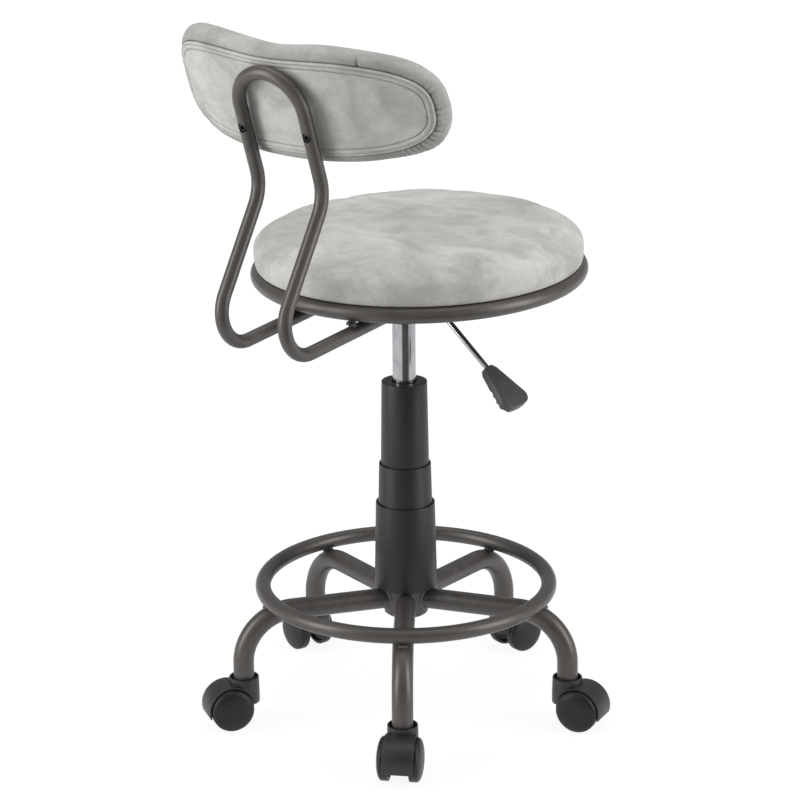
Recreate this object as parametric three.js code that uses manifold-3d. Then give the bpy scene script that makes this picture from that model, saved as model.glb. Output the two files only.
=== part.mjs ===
// A drafting chair: five-leg base on casters with a foot ring, a gas lift under
// a three-stage cover, a round hooped seat and a bent-tube back with a curved pad.
// Millimetres, +Z up. The sitter faces -Y and the backrest stands at +Y.
import * as THREE from "three";
import { mergeVertices } from "three/addons/utils/BufferGeometryUtils.js";
import Module from "manifold-3d";

const wasm = await Module();
wasm.setup();

// ---------------------------------------------------------------- driving sizes
const FIT = 0.3; // gap between faces that touch
const LEGS = 5;
const TUBE_SIDES = 10;
const TUBE_INNER_SIDES = 6;
const BEND_STEP = 24; // degrees of bend per facet of a tube
const HOOP_SEGMENTS = 36;
const HOOP_SIDES = 8;
const ROUND_SIDES = 20; // the column's turned parts
const SMALL_SIDES = 8; // pins, screws and their holes

// Casters
const WHEEL_R = 26;
const WHEEL_FACETS = 16;
const WHEEL_GAP = 24.6; // between the two wheels' inner faces
const WHEEL_TREAD = 7.5; // width of the cylindrical tread
const WHEEL_DOME = 7.5; // how far the outer face bulges beyond the tread
const WHEEL_WALL = 2.6;
const AXLE_R = 3;
const CASTER_TRAIL = 20;
const CASTER_TURNS = [-12, 0, 3, -7, -7]; // how far each stands swivelled, in degrees
const HOOD_HALF = 18.3; // half the canopy's width
const HOOD_GAP = 1.1; // running gap between wheel and canopy
const HOOD_WALL = 1.8;
const HOOD_REAR_ANGLE = -23; // degrees below the axle where the canopy ends
const COLLAR_R = 18.5;
const COLLAR_TOP = 61;
const COLLAR_FOOT = 29; // lowest point of the collar's column
const CUP_DEPTH = 6;
const CUP_R = 14.8;
const STEM_R = 5.5;
const STEM_FLANGE_R = 9;
const STEM_DEPTH = 14; // stem length below the cup's floor
const STEM_RISE = 30; // stem length inside the leg

// Legs and foot ring
const LEG_R = 12.5;
const LEG_WALL = 1.5;
const LEG_Z = 140.5; // height of the level stretch
const LEG_REACH = 205; // column axis to the upright end
const LEG_BEND = 62;
const LEG_END = 60; // height of the leg's lower end
const LEG_PLUG = 34; // solid end that takes the caster stem
const FOOT_RING_R = 173.6;
const FOOT_TUBE_R = 9.3;
const FOOT_TUBE_WALL = 1.4;
const FOOT_STUD_R = 3.4;
const FOOT_STUD = 1.5; // clear height between leg and foot ring
const VENT_R = 2;

// Hub and gas lift
const HUB_R = 26.5;
const HUB_BOTTOM = 121.5;
const HUB_TOP = 168;
const LIFT_TUBE_R = 25;
const LIFT_TUBE_FOOT_R = 23.9;
const LIFT_TUBE_WALL = 1.8;
const LIFT_TUBE_TOP = 345;
const LIFT_TUBE_DROP = 1.5; // how far it stands out under the hub
const LIFT_FLOOR = 3;
const BUSH_LENGTH = 70;
const BEARING_R = 14;
const BEARING_HEIGHT = 6;
const ROD_R = 4;
const ROD_FOOT_R = 5;
const ROD_SHOULDER_R = 9;
const ROD_SHOULDER = 3;
const PISTON_HEIGHT = 12;
const PRESSURE_R = 14;
const PRESSURE_WALL = 1.6;
const LIFT_TRAVEL = 120;
const BUMP_ROOM = 2; // left under the pressure tube at full travel
const GUIDE_HEIGHT = 9.5;
const TAPER_LENGTH = 22.3;
const TAPER_TOP_R = 13.2;
const PRESSURE_CAP = 6;
const PIN_R = 4;
const PIN_LENGTH = 13;

// Telescopic cover
const COVER_WALL = 1.3;
const COVER_FOOT = 156.8;
const LOWER_TOP = 262.5;
const LOWER_R = [36.5, 35]; // at the foot, at the top
const MIDDLE_TOP = 311.9;
const MIDDLE_R = [31.4, 29.7];
const UPPER_TOP = 414.3;
const UPPER_R = [28.25, 27];
const STAGE_OVERLAP = 22; // hidden length of a stage inside the next one
const COVER_LIP = 2.4;

// Seat frame: level with the hoop's centre plane where it crosses the column axis
const SEAT_Z = 545.2;
const SEAT_TILT = 1.44; // degrees, front edge up
const SEAT_FORWARD = 31; // hoop centre ahead of the column axis
const SEAT_RING_R = 190.6;
const SEAT_TUBE_R = 9.4;
const SEAT_TUBE_WALL = 1.5;
const BAR_THICK = 4;
const BAR_WIDTH = 30;
const BAR_OFFSET = 45; // of each cross bar ahead of and behind the column axis
const BOARD_THICK = 12;
const BOARD_DROP = 6.6; // underside below the hoop plane
const CUSHION_OVERHANG = 3.4; // past the hoop's centre line
const CUSHION_BELLY = 17; // height of the widest line above the hoop plane
const CUSHION_CROWN = 43.5; // from there to the top
const CUSHION_POWER = 3.7;
const CUSHION_TUCK = 3.2; // from the hoop's inner flank in to the cushion's foot

// Mechanism and lever
const PLATE_THICK = 3.5;
const PLATE_LENGTH = 150;
const SOCKET_R = 18;
const SOCKET_DROP = 56.5; // its lower end below the hoop plane
const LEVER_X = -31; // pivot line
const LEVER_Y = -14;
const LEVER_Z = -31.2; // below the hoop plane
const LEVER_SLOPE = 41.3;
const LEVER_ROD_R = 3.4;
const LEVER_PIN_R = 2.5;
const LEVER_SLEEVE_R = 5.6;
const LEVER_SLEEVE = 18.4;
const EAR_THICK = 3;
const EAR_HALF = 6;
const TONGUE_THICK = 3.4;
const TONGUE_TIP = 6; // past the column axis
const TONGUE_RISE = 2.4; // of its middle above the pivot line
const GRIP_START = 104;
const GRIP_LENGTH = 61;
const GRIP_NECK = 14;
const GRIP_WIDTH = 42;
const GRIP_THICK = 11;
const GRIP_CORNER = 16; // how far its rounded corners reach back from the tip
const GRIP_SHOULDER = 3; // step from the neck out to the wedge
const GRIP_BEVEL = 1.5;
const GRIP_DROP = 0.8; // of the grip's middle below the rod
const ROD_IN_GRIP = 34;

// Back tube, in the seat frame
const BACK_TUBE_R = 8;
const BACK_TUBE_WALL = 1.2;
const BACK_SPACING = 91;
const ARM_GAP = 1; // from the rear cross bar to the arms' front ends
const BACK_WELD = 5.6; // height of the weld between hoop and arm
const ARM_DROOP = 3.25;
const FOOT_BEND = 40.7;
const FORWARD_LEAN = 32.6;
const KNEE_Y = 197.1;
const KNEE_Z = 143.9;
const KNEE_BEND = 49.4;
const REAR_LEAN = 16.5;
const BOW_TOP = 286.3;

// Back pad
const PAD_CURVE = 335; // radius of its rear face
const PAD_HALF_WIDTH = 186.4; // along the bend
const PAD_HALF_HEIGHT = 58;
const PAD_POWER = 3.35;
const PAD_END_DROP = 12.7; // keeps the pad's long middle line level
const PAD_HEIGHT_ON_TUBE = 107.2; // pad centre above the knee, along the uprights
const PAD_BULGE = 14; // how far the cushion swells past the rear seam
const PAD_DEPTH = 45;
const PAD_RIM_SHARE = 0.5; // depth at the front rim over depth in the middle
const PANEL_THICK = 2.2;
const BACK_BOARD_THICK = 9;
const LAYER_GAP = 0.8; // between the bent layers of the back pad
const PAD_RIM = 6; // from the rear seam in to the board
const BACK_SCREW_DROP = 29.4; // below the pad's centre
const BACK_SCREW_R = 2.5;
const BACK_HEAD_R = 4.2;
const BACK_HEAD_HEIGHT = 10;

// ---------------------------------------------------------------- small helpers
const rad = THREE.MathUtils.degToRad;

function circle(radius, sides) {
  const points = [];
  for (let i = 0; i < sides; i++) {
    const angle = (i / sides) * 2 * Math.PI;
    points.push(new THREE.Vector2(radius * Math.cos(angle), radius * Math.sin(angle)));
  }
  return points;
}

// A body of revolution about Z from [radius, height] pairs given anticlockwise.
// A profile that stays off the axis is closed on itself.
function turned(profile, sides = ROUND_SIDES) {
  const points = profile.map(([r, z]) => new THREE.Vector2(r, z));
  const onAxis = profile[0][0] === 0 && profile.at(-1)[0] === 0;
  if (!onAxis) points.push(points[0].clone());
  return new THREE.LatheGeometry(points, sides).rotateX(Math.PI / 2);
}

function hollow(outer, inner, bottom, top, sides = ROUND_SIDES) {
  return turned([[inner, bottom], [outer, bottom], [outer, top], [inner, top]], sides);
}

function rod(radius, bottom, top, sides = SMALL_SIDES) {
  return turned([[0, bottom], [radius, bottom], [radius, top], [0, top]], sides);
}

// A hole that a pin turns in: its flats keep the clearance too, not only its corners.
function runningBore(radius, bottom, top) {
  return rod((radius + FIT) / Math.cos(Math.PI / SMALL_SIDES), bottom, top);
}

function block(x, y, z) {
  const size = [x[1] - x[0], y[1] - y[0], z[1] - z[0]];
  const middle = [(x[0] + x[1]) / 2, (y[0] + y[1]) / 2, (z[0] + z[1]) / 2];
  return new THREE.BoxGeometry(...size).translate(...middle);
}

function solidOf(geometry) {
  const bare = geometry.clone();
  bare.deleteAttribute("normal");
  bare.deleteAttribute("uv");
  const merged = mergeVertices(bare, 1e-4);
  const vertProperties = new Float32Array(merged.attributes.position.array);
  const triVerts = new Uint32Array(merged.index.array);
  return new wasm.Manifold(new wasm.Mesh({ numProp: 3, vertProperties, triVerts }));
}

function geometryOf(solid) {
  const mesh = solid.getMesh();
  const geometry = new THREE.BufferGeometry();
  geometry.setAttribute("position", new THREE.BufferAttribute(mesh.vertProperties, 3));
  geometry.setIndex(new THREE.BufferAttribute(mesh.triVerts, 1));
  return geometry;
}

function joined(first, ...others) {
  return geometryOf(others.reduce((sum, g) => sum.add(solidOf(g)), solidOf(first)));
}

function cut(first, ...others) {
  return geometryOf(others.reduce((rest, g) => rest.subtract(solidOf(g)), solidOf(first)));
}

// A route of straight runs whose corners are rounded to the given radii. Each step of
// a swept tube falls on a run's end or inside a bend, so straight runs stay plain.
class BentRoute extends THREE.Curve {
  constructor(corners, radii) {
    super();
    this.points = [corners[0]];
    for (let i = 1; i < corners.length - 1; i++) {
      this.addBend(corners[i - 1], corners[i], corners[i + 1], radii[i - 1]);
    }
    this.points.push(corners.at(-1));
  }

  addBend(before, corner, after, radius) {
    const into = corner.clone().sub(before).normalize();
    const out = after.clone().sub(corner).normalize();
    const turn = into.angleTo(out);
    const start = corner.clone().addScaledVector(into, -radius * Math.tan(turn / 2));
    const inward = out.clone().addScaledVector(into, -into.dot(out)).normalize();
    const steps = Math.max(1, Math.round(turn / rad(BEND_STEP)));
    for (let k = 0; k <= steps; k++) {
      const angle = (turn * k) / steps;
      const point = start.clone().addScaledVector(into, radius * Math.sin(angle));
      this.points.push(point.addScaledVector(inward, radius * (1 - Math.cos(angle))));
    }
  }

  get steps() {
    return this.points.length - 1;
  }

  getUtoTmapping(u) {
    return u;
  }

  getPoint(t, target = new THREE.Vector3()) {
    const place = Math.min(Math.max(t, 0), 1) * this.steps;
    const i = Math.min(Math.floor(place), this.steps - 1);
    return target.lerpVectors(this.points[i], this.points[i + 1], place - i);
  }

  getTangent(t, target = new THREE.Vector3()) {
    const i = Math.round(t * this.steps);
    target.set(0, 0, 0);
    for (const k of [i - 1, i]) {
      if (k < 0 || k >= this.steps) continue;
      target.add(this.points[k + 1].clone().sub(this.points[k]).normalize());
    }
    return target.normalize();
  }
}

function tubeAlong(route, radius, wall) {
  const section = new THREE.Shape(circle(radius, TUBE_SIDES));
  section.holes.push(new THREE.Path(circle(radius - wall, TUBE_INNER_SIDES)));
  const settings = { steps: route.steps, extrudePath: route, bevelEnabled: false };
  return new THREE.ExtrudeGeometry(section, settings);
}

// A closed hoop of tube, hollow inside, with one small vent on its underside.
function hoop(radius, tubeRadius, wall) {
  const outer = new THREE.TorusGeometry(radius, tubeRadius, HOOP_SIDES, HOOP_SEGMENTS);
  const inner = new THREE.TorusGeometry(radius, tubeRadius - wall, HOOP_SIDES / 2, HOOP_SEGMENTS);
  const vent = rod(VENT_R, -tubeRadius - 1, 0).translate(0, radius, 0);
  return cut(outer, inner, vent);
}

// ---------------------------------------------------------------- finishes
function finish(color, roughness, metalness) {
  return () => new THREE.MeshStandardMaterial({ color, roughness, metalness });
}

const finishes = {
  frame: finish(0x504c48, 0.45, 0.6),
  chrome: finish(0xd0d0d2, 0.12, 1),
  steel: finish(0x8c8c8e, 0.4, 0.9),
  plastic: finish(0x2f2f31, 0.5, 0),
  darkPlastic: finish(0x262628, 0.6, 0),
  brassBearing: finish(0x9a8a60, 0.4, 0.9),
  wood: finish(0xb08d5c, 0.8, 0),
  suede: finish(0xbebeba, 0.95, 0),
};

function piece(parent, name, geometry, material) {
  const mesh = new THREE.Mesh(geometry, finishes[material]());
  mesh.name = name;
  parent.add(mesh);
  return mesh;
}

// ---------------------------------------------------------------- casters
// Built about the swivel axis at floor level; +X trails away from the chair.
const collarFloor = COLLAR_TOP - CUP_DEPTH;
const wheelInner = WHEEL_GAP / 2;
const wheelCorner = WHEEL_R / Math.cos(Math.PI / WHEEL_FACETS);

// The left and right wheels mirror each other; this one faces +Y.
function wheelShape() {
  const treadEnd = wheelInner + WHEEL_TREAD;
  const profile = [[0, wheelInner], [wheelCorner, wheelInner], [wheelCorner, treadEnd]];
  for (const angle of [35, 68]) {
    const bulge = WHEEL_DOME * Math.sin(rad(angle));
    profile.push([wheelCorner * Math.cos(rad(angle)), treadEnd + bulge]);
  }
  profile.push([0, treadEnd + WHEEL_DOME]);
  const bore = runningBore(AXLE_R, wheelInner - 1, treadEnd + WHEEL_DOME - WHEEL_WALL);
  const wheel = cut(turned(profile, WHEEL_FACETS), bore);
  return wheel.rotateX(-Math.PI / 2).rotateY(Math.PI / WHEEL_FACETS);
}

function hoodShape() {
  const canopyR = WHEEL_R + HOOD_GAP + HOOD_WALL;
  const pocketR = WHEEL_R + HOOD_GAP;
  const side = new THREE.Shape();
  const rear = rad(HOOD_REAR_ANGLE);
  side.absarc(CASTER_TRAIL, WHEEL_R, canopyR, rear, rad(140), false);
  side.lineTo(0, COLLAR_FOOT);
  side.lineTo(CASTER_TRAIL, WHEEL_R - 2 * AXLE_R);
  side.closePath();
  const settings = { depth: 2 * HOOD_HALF, bevelEnabled: false, curveSegments: 6 };
  const canopy = new THREE.ExtrudeGeometry(side, settings);
  canopy.translate(0, 0, -HOOD_HALF).rotateX(Math.PI / 2);
  const column = rod(COLLAR_R, COLLAR_FOOT, COLLAR_TOP, WHEEL_FACETS);
  const pocket = rod(pocketR, wheelInner - FIT, 3 * HOOD_HALF, WHEEL_FACETS);
  const places = [-1, 1].map((way) => {
    const turn = pocket.clone().rotateX((-way * Math.PI) / 2);
    return turn.translate(CASTER_TRAIL, 0, WHEEL_R);
  });
  const cup = rod(CUP_R, collarFloor, COLLAR_TOP + 1, WHEEL_FACETS);
  const stemHole = runningBore(STEM_R, collarFloor - STEM_DEPTH - 1, COLLAR_TOP);
  const axleHole = rod(AXLE_R + FIT, -HOOD_HALF, HOOD_HALF).rotateX(Math.PI / 2);
  axleHole.translate(CASTER_TRAIL, 0, WHEEL_R);
  return cut(joined(canopy, column), ...places, cup, stemHole, axleHole);
}

function axleShape() {
  const end = wheelInner + WHEEL_TREAD + WHEEL_DOME - WHEEL_WALL - FIT;
  return rod(AXLE_R, -end, end).rotateX(Math.PI / 2).translate(CASTER_TRAIL, 0, WHEEL_R);
}

function stemShape() {
  const flangeTop = LEG_END - FIT;
  const flangeBottom = collarFloor + FIT;
  const profile = [[0, collarFloor - STEM_DEPTH], [STEM_R, collarFloor - STEM_DEPTH]];
  profile.push([STEM_R, flangeBottom], [STEM_FLANGE_R, flangeBottom], [STEM_FLANGE_R, flangeTop]);
  profile.push([STEM_R, flangeTop], [STEM_R, LEG_END + STEM_RISE], [0, LEG_END + STEM_RISE]);
  return turned(profile, SMALL_SIDES);
}

function addCaster(parent, number) {
  const caster = new THREE.Group();
  piece(caster, `caster_stem_${number}`, stemShape(), "steel");
  piece(caster, `caster_hood_${number}`, hoodShape(), "plastic");
  piece(caster, `caster_axle_${number}`, axleShape(), "steel");
  [["left", -1], ["right", 1]].forEach(([side, way]) => {
    const wheel = wheelShape();
    if (way < 0) wheel.rotateZ(Math.PI);
    wheel.translate(CASTER_TRAIL, 0, WHEEL_R);
    piece(caster, `caster_wheel_${side}_${number}`, wheel, "darkPlastic");
  });
  caster.position.x = LEG_REACH;
  caster.rotation.z = rad(CASTER_TURNS[number - 1]);
  parent.add(caster);
}

// ---------------------------------------------------------------- base
function legShape() {
  const start = new THREE.Vector3(HUB_R + FIT, 0, LEG_Z);
  const corner = new THREE.Vector3(LEG_REACH, 0, LEG_Z);
  const end = new THREE.Vector3(LEG_REACH, 0, LEG_END);
  const tube = tubeAlong(new BentRoute([start, corner, end], [LEG_BEND]), LEG_R, LEG_WALL);
  const plugR = LEG_R - LEG_WALL / 2;
  const plug = hollow(plugR, STEM_R + FIT, LEG_END, LEG_END + LEG_PLUG, TUBE_SIDES);
  const mouth = rod(HUB_R + FIT, LEG_Z - 2 * LEG_R, LEG_Z + 2 * LEG_R, ROUND_SIDES);
  return cut(joined(tube, plug.translate(LEG_REACH, 0, 0)), mouth);
}

const bendX = LEG_REACH - LEG_BEND;
const bendZ = LEG_Z - LEG_BEND;
const ringOffBend = LEG_BEND + LEG_R + FOOT_STUD + FOOT_TUBE_R;
const footRingZ = bendZ + Math.sqrt(ringOffBend ** 2 - (FOOT_RING_R - bendX) ** 2);

function footRingShape() {
  const ring = hoop(FOOT_RING_R, FOOT_TUBE_R, FOOT_TUBE_WALL).translate(0, 0, footRingZ);
  const tilt = Math.atan2(FOOT_RING_R - bendX, footRingZ - bendZ);
  const studs = [];
  for (let k = 0; k < LEGS; k++) {
    const stud = rod(FOOT_STUD_R, LEG_BEND + LEG_R + FIT, ringOffBend - FOOT_TUBE_R + 1);
    stud.rotateY(tilt).translate(bendX, 0, bendZ);
    studs.push(stud.rotateZ(legAngle(k)));
  }
  return joined(ring, ...studs);
}

function legAngle(k) {
  return -Math.PI / 2 + (k * 2 * Math.PI) / LEGS;
}

const liftFoot = HUB_BOTTOM - LIFT_TUBE_DROP;
const taperTop = HUB_TOP + FIT;

// The gas lift's outer tube: tapered where the hub grips it, straight above.
function liftTubeOuter(extra, bottom, top) {
  const slope = (LIFT_TUBE_R - LIFT_TUBE_FOOT_R) / (taperTop - liftFoot);
  const at = (z) => LIFT_TUBE_FOOT_R + slope * (z - liftFoot) + extra;
  return [[at(bottom), bottom], [at(Math.min(top, taperTop)), Math.min(top, taperTop)]];
}

function addBase(chair) {
  const base = new THREE.Group();
  const bore = liftTubeOuter(FIT, HUB_BOTTOM, HUB_TOP);
  const hub = turned([bore[0], [HUB_R, HUB_BOTTOM], [HUB_R, HUB_TOP], bore[1]]);
  piece(base, "base_hub", hub, "frame");
  for (let k = 0; k < LEGS; k++) {
    const arm = new THREE.Group();
    piece(arm, `leg_${k + 1}`, legShape(), "frame");
    addCaster(arm, k + 1);
    arm.rotation.z = legAngle(k);
    base.add(arm);
  }
  piece(base, "foot_ring", footRingShape(), "frame");
  addLiftTube(base);
  addCover(base);
  chair.add(base);
}

// ---------------------------------------------------------------- gas lift
const liftBore = LIFT_TUBE_R - LIFT_TUBE_WALL;
const bearingBottom = liftFoot + LIFT_FLOOR + FIT;
const shoulderBottom = bearingBottom + BEARING_HEIGHT + FIT;
const pressureBottom = shoulderBottom + ROD_SHOULDER + BUMP_ROOM + LIFT_TRAVEL;
const pistonBottom = pressureBottom + GUIDE_HEIGHT + 2 * FIT;
const socketBottom = SEAT_Z - SOCKET_DROP;
const taperEnd = socketBottom + TAPER_LENGTH;

function addLiftTube(base) {
  const outside = liftTubeOuter(0, liftFoot, LIFT_TUBE_TOP);
  const inside = liftTubeOuter(-LIFT_TUBE_WALL, liftFoot + LIFT_FLOOR, LIFT_TUBE_TOP);
  const hole = ROD_FOOT_R + FIT;
  const profile = [[hole, liftFoot], ...outside, [LIFT_TUBE_R, LIFT_TUBE_TOP]];
  profile.push([liftBore, LIFT_TUBE_TOP], inside[1], inside[0], [hole, liftFoot + LIFT_FLOOR]);
  piece(base, "lift_outer_tube", turned(profile), "plastic");
  const bushBottom = LIFT_TUBE_TOP - BUSH_LENGTH;
  const bush = hollow(liftBore - FIT, PRESSURE_R + FIT, bushBottom, LIFT_TUBE_TOP - 1);
  piece(base, "lift_guide_bush", bush, "darkPlastic");
}

function addPiston(chair) {
  const shoulderTop = shoulderBottom + ROD_SHOULDER;
  const pistonR = PRESSURE_R - PRESSURE_WALL - FIT;
  const profile = [[0, liftFoot - 2], [ROD_FOOT_R, liftFoot - 2], [ROD_FOOT_R, shoulderBottom]];
  profile.push([ROD_SHOULDER_R, shoulderBottom], [ROD_SHOULDER_R, shoulderTop]);
  profile.push([ROD_R, shoulderTop], [ROD_R, pistonBottom], [pistonR, pistonBottom]);
  profile.push([pistonR, pistonBottom + PISTON_HEIGHT], [0, pistonBottom + PISTON_HEIGHT]);
  piece(chair, "piston_rod", turned(profile, 12), "steel");
  const bearing = hollow(BEARING_R, ROD_FOOT_R + FIT, bearingBottom, bearingBottom + BEARING_HEIGHT);
  piece(chair, "thrust_bearing", bearing, "brassBearing");
}

function addPressureTube(chair) {
  const bore = PRESSURE_R - PRESSURE_WALL;
  const pinHole = PIN_R + FIT;
  const profile = [[bore, pressureBottom], [PRESSURE_R, pressureBottom]];
  profile.push([PRESSURE_R, socketBottom], [TAPER_TOP_R, taperEnd], [pinHole, taperEnd]);
  profile.push([pinHole, taperEnd - PRESSURE_CAP], [bore - 1, taperEnd - PRESSURE_CAP]);
  profile.push([bore - 1, socketBottom], [bore, socketBottom - 2]);
  piece(chair, "lift_pressure_tube", turned(profile), "chrome");
  const guide = hollow(bore - FIT, ROD_R + FIT, pressureBottom, pressureBottom + GUIDE_HEIGHT, 12);
  piece(chair, "rod_guide", guide, "darkPlastic");
  piece(chair, "release_pin", rod(PIN_R, pinTop - PIN_LENGTH, pinTop), "steel");
}

// ---------------------------------------------------------------- cover
// Each stage is a thin tapered sleeve. A foot rim on the middle and upper stages rides
// inside the next stage; a lip on the upper stage closes in on the pressure tube.
function sleeve(radii, foot, top, wall) {
  const [footR, topR] = radii;
  return [[footR - wall, foot], [footR, foot], [topR, top], [topR - wall, top]];
}

function radiusAt(radii, foot, top, z) {
  return radii[0] + ((radii[1] - radii[0]) * (z - foot)) / (top - foot);
}

function addCover(base) {
  const lower = sleeve(LOWER_R, COVER_FOOT, LOWER_TOP, COVER_WALL);
  const ledgeZ = HUB_TOP + FIT;
  const ledgeR = radiusAt(LOWER_R, COVER_FOOT, LOWER_TOP, ledgeZ) - COVER_WALL / 2;
  const ledge = hollow(ledgeR, LIFT_TUBE_R + FIT, ledgeZ, ledgeZ + COVER_LIP);
  piece(base, "cover_lower", joined(turned(lower), ledge), "plastic");

  const middleFoot = LOWER_TOP - STAGE_OVERLAP;
  const lowerBore = radiusAt(LOWER_R, COVER_FOOT, LOWER_TOP, LOWER_TOP) - COVER_WALL;
  const middle = sleeve(MIDDLE_R, middleFoot, MIDDLE_TOP, COVER_WALL);
  const middleRim = hollow(lowerBore - FIT, MIDDLE_R[0] - COVER_WALL, middleFoot, middleFoot + COVER_LIP);
  piece(base, "cover_middle", joined(turned(middle), middleRim), "plastic");

  const upperFoot = MIDDLE_TOP - STAGE_OVERLAP;
  const upper = sleeve(UPPER_R, upperFoot, UPPER_TOP, COVER_WALL);
  const lip = hollow(UPPER_R[1] - COVER_WALL / 2, PRESSURE_R + 3 * FIT, UPPER_TOP - COVER_LIP, UPPER_TOP);
  piece(base, "cover_upper", joined(turned(upper), lip), "plastic");
}

// ---------------------------------------------------------------- seat frame parts
// Stacked downwards from the hoop: board, cross bars, mechanism plate.
const armZ = -(SEAT_TUBE_R + BACK_WELD + BACK_TUBE_R);
const boardBottom = -BOARD_DROP;
const barTop = boardBottom - FIT;
const barBottom = barTop - BAR_THICK;
const plateTop = barBottom - FIT;
const plateBottom = plateTop - PLATE_THICK;
const boardTop = boardBottom + BOARD_THICK;
const tongueBottom = LEVER_Z + TONGUE_RISE - TONGUE_THICK / 2;
const pinTop = SEAT_Z + tongueBottom - 2 * FIT;

// A cross bar ends just inside the hoop's lower flank.
function barShape(y) {
  const flank = SEAT_RING_R - Math.sqrt(SEAT_TUBE_R ** 2 - Math.min(0, barTop) ** 2) - FIT;
  const far = Math.abs(y + SEAT_FORWARD) + BAR_WIDTH / 2;
  const half = Math.sqrt(flank ** 2 - far ** 2);
  return block([-half, half], [y - BAR_WIDTH / 2, y + BAR_WIDTH / 2], [barBottom, barTop]);
}

function cushionShape() {
  const foot = boardTop + FIT;
  const footR = SEAT_RING_R - SEAT_TUBE_R - CUSHION_TUCK;
  const rim = SEAT_RING_R + CUSHION_OVERHANG;
  const profile = [[0, foot], [footR, foot], [footR + 6, SEAT_TUBE_R]];
  profile.push([rim - 3, SEAT_TUBE_R + 2.3], [rim - 0.7, CUSHION_BELLY - 2.5]);
  for (const angle of [0, 10, 22, 36, 50, 66]) {
    const r = rim * Math.cos(rad(angle)) ** (2 / CUSHION_POWER);
    const z = CUSHION_BELLY + CUSHION_CROWN * Math.sin(rad(angle)) ** (2 / CUSHION_POWER);
    profile.push([r, z]);
  }
  profile.push([0, CUSHION_BELLY + CUSHION_CROWN]);
  return turned(profile, HOOP_SEGMENTS).translate(0, -SEAT_FORWARD, 0);
}

function plateShape() {
  const half = BACK_SPACING / 2 - BACK_TUBE_R - FIT;
  const plate = block([-half, half], [-PLATE_LENGTH / 2, PLATE_LENGTH / 2], [plateBottom, plateTop]);
  const earFoot = LEVER_Z - EAR_HALF;
  const ears = [-1, 1].map((way) => {
    const near = LEVER_Y + way * (LEVER_SLEEVE / 2 + FIT);
    const far = near + way * EAR_THICK;
    const y = [Math.min(near, far), Math.max(near, far)];
    return block([LEVER_X - EAR_HALF, LEVER_X + EAR_HALF], y, [earFoot, plateTop - 1]);
  });
  const hole = rod(LEVER_PIN_R + FIT, -PLATE_LENGTH, PLATE_LENGTH).rotateX(Math.PI / 2);
  return cut(joined(plate, ...ears), hole.translate(LEVER_X, 0, LEVER_Z));
}

function pivotPinShape() {
  const half = LEVER_SLEEVE / 2 + EAR_THICK + 1;
  return rod(LEVER_PIN_R, -half, half).rotateX(Math.PI / 2).translate(LEVER_X, LEVER_Y, LEVER_Z);
}

// The taper socket hangs upright under the tilted plate, with a window for the tongue.
function socketShape() {
  const top = SEAT_Z + plateBottom - FIT - SOCKET_R * Math.tan(rad(SEAT_TILT));
  const bore = [[PRESSURE_R + FIT, socketBottom], [TAPER_TOP_R + FIT, taperEnd]];
  const profile = [bore[0], [SOCKET_R, socketBottom], [SOCKET_R, top]];
  profile.push([TAPER_TOP_R + FIT, top], bore[1]);
  const tongueZ = SEAT_Z + tongueBottom;
  const window = block([-2 * SOCKET_R, TONGUE_TIP + 2], [-2 * SOCKET_R, 8], [tongueZ - 6, tongueZ + 7]);
  return cut(turned(profile), window);
}

function leverShape() {
  const sleeve = rod(LEVER_SLEEVE_R, -LEVER_SLEEVE / 2, LEVER_SLEEVE / 2).rotateX(Math.PI / 2);
  sleeve.translate(LEVER_X, LEVER_Y, LEVER_Z);
  const bar = rod(LEVER_ROD_R, 0, GRIP_START + ROD_IN_GRIP).rotateY(-Math.PI / 2);
  bar.rotateY(-rad(LEVER_SLOPE)).translate(LEVER_X, LEVER_Y, LEVER_Z);
  const tongue = [tongueBottom, tongueBottom + TONGUE_THICK];
  const neck = block([LEVER_X, LEVER_X + 9], [LEVER_Y - 6, LEVER_Y + 6], tongue);
  const blade = block([LEVER_X + 8, TONGUE_TIP], [LEVER_Y - 4, PIN_R + 1], tongue);
  const hole = runningBore(LEVER_PIN_R, -LEVER_SLEEVE, LEVER_SLEEVE).rotateX(Math.PI / 2);
  return cut(joined(sleeve, bar, neck, blade), hole.translate(LEVER_X, LEVER_Y, LEVER_Z));
}

// The paddle: a flat wedge, narrow at the rod and wide at the fingers, bored for the rod.
function gripShape() {
  const neck = GRIP_NECK / 2;
  const wide = GRIP_WIDTH / 2;
  const tip = -GRIP_LENGTH + 2;
  const outline = new THREE.Shape();
  outline.moveTo(0, -neck);
  outline.lineTo(0, neck);
  outline.lineTo(-2 * GRIP_SHOULDER, neck + GRIP_SHOULDER);
  outline.lineTo(tip + GRIP_CORNER, wide);
  outline.quadraticCurveTo(tip + 2, wide + 1, tip, wide - GRIP_CORNER / 2);
  outline.quadraticCurveTo(tip - 4, 0, tip, GRIP_CORNER / 2 - wide);
  outline.quadraticCurveTo(tip + 2, -wide - 1, tip + GRIP_CORNER, -wide);
  outline.lineTo(-2 * GRIP_SHOULDER, -neck - GRIP_SHOULDER);
  outline.closePath();
  const settings = { depth: GRIP_THICK - 2 * GRIP_BEVEL, bevelSegments: 1, curveSegments: 3 };
  Object.assign(settings, { bevelSize: GRIP_BEVEL, bevelThickness: GRIP_BEVEL, bevelOffset: -GRIP_BEVEL });
  const wedge = new THREE.ExtrudeGeometry(outline, settings);
  wedge.translate(-GRIP_START, 0, GRIP_BEVEL - GRIP_THICK / 2 - GRIP_DROP);
  const bore = rod(LEVER_ROD_R + FIT, GRIP_START - 1, GRIP_START + ROD_IN_GRIP + FIT);
  const grip = cut(wedge, bore.rotateY(-Math.PI / 2));
  return grip.rotateY(-rad(LEVER_SLOPE)).translate(LEVER_X, LEVER_Y, LEVER_Z);
}

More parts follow.
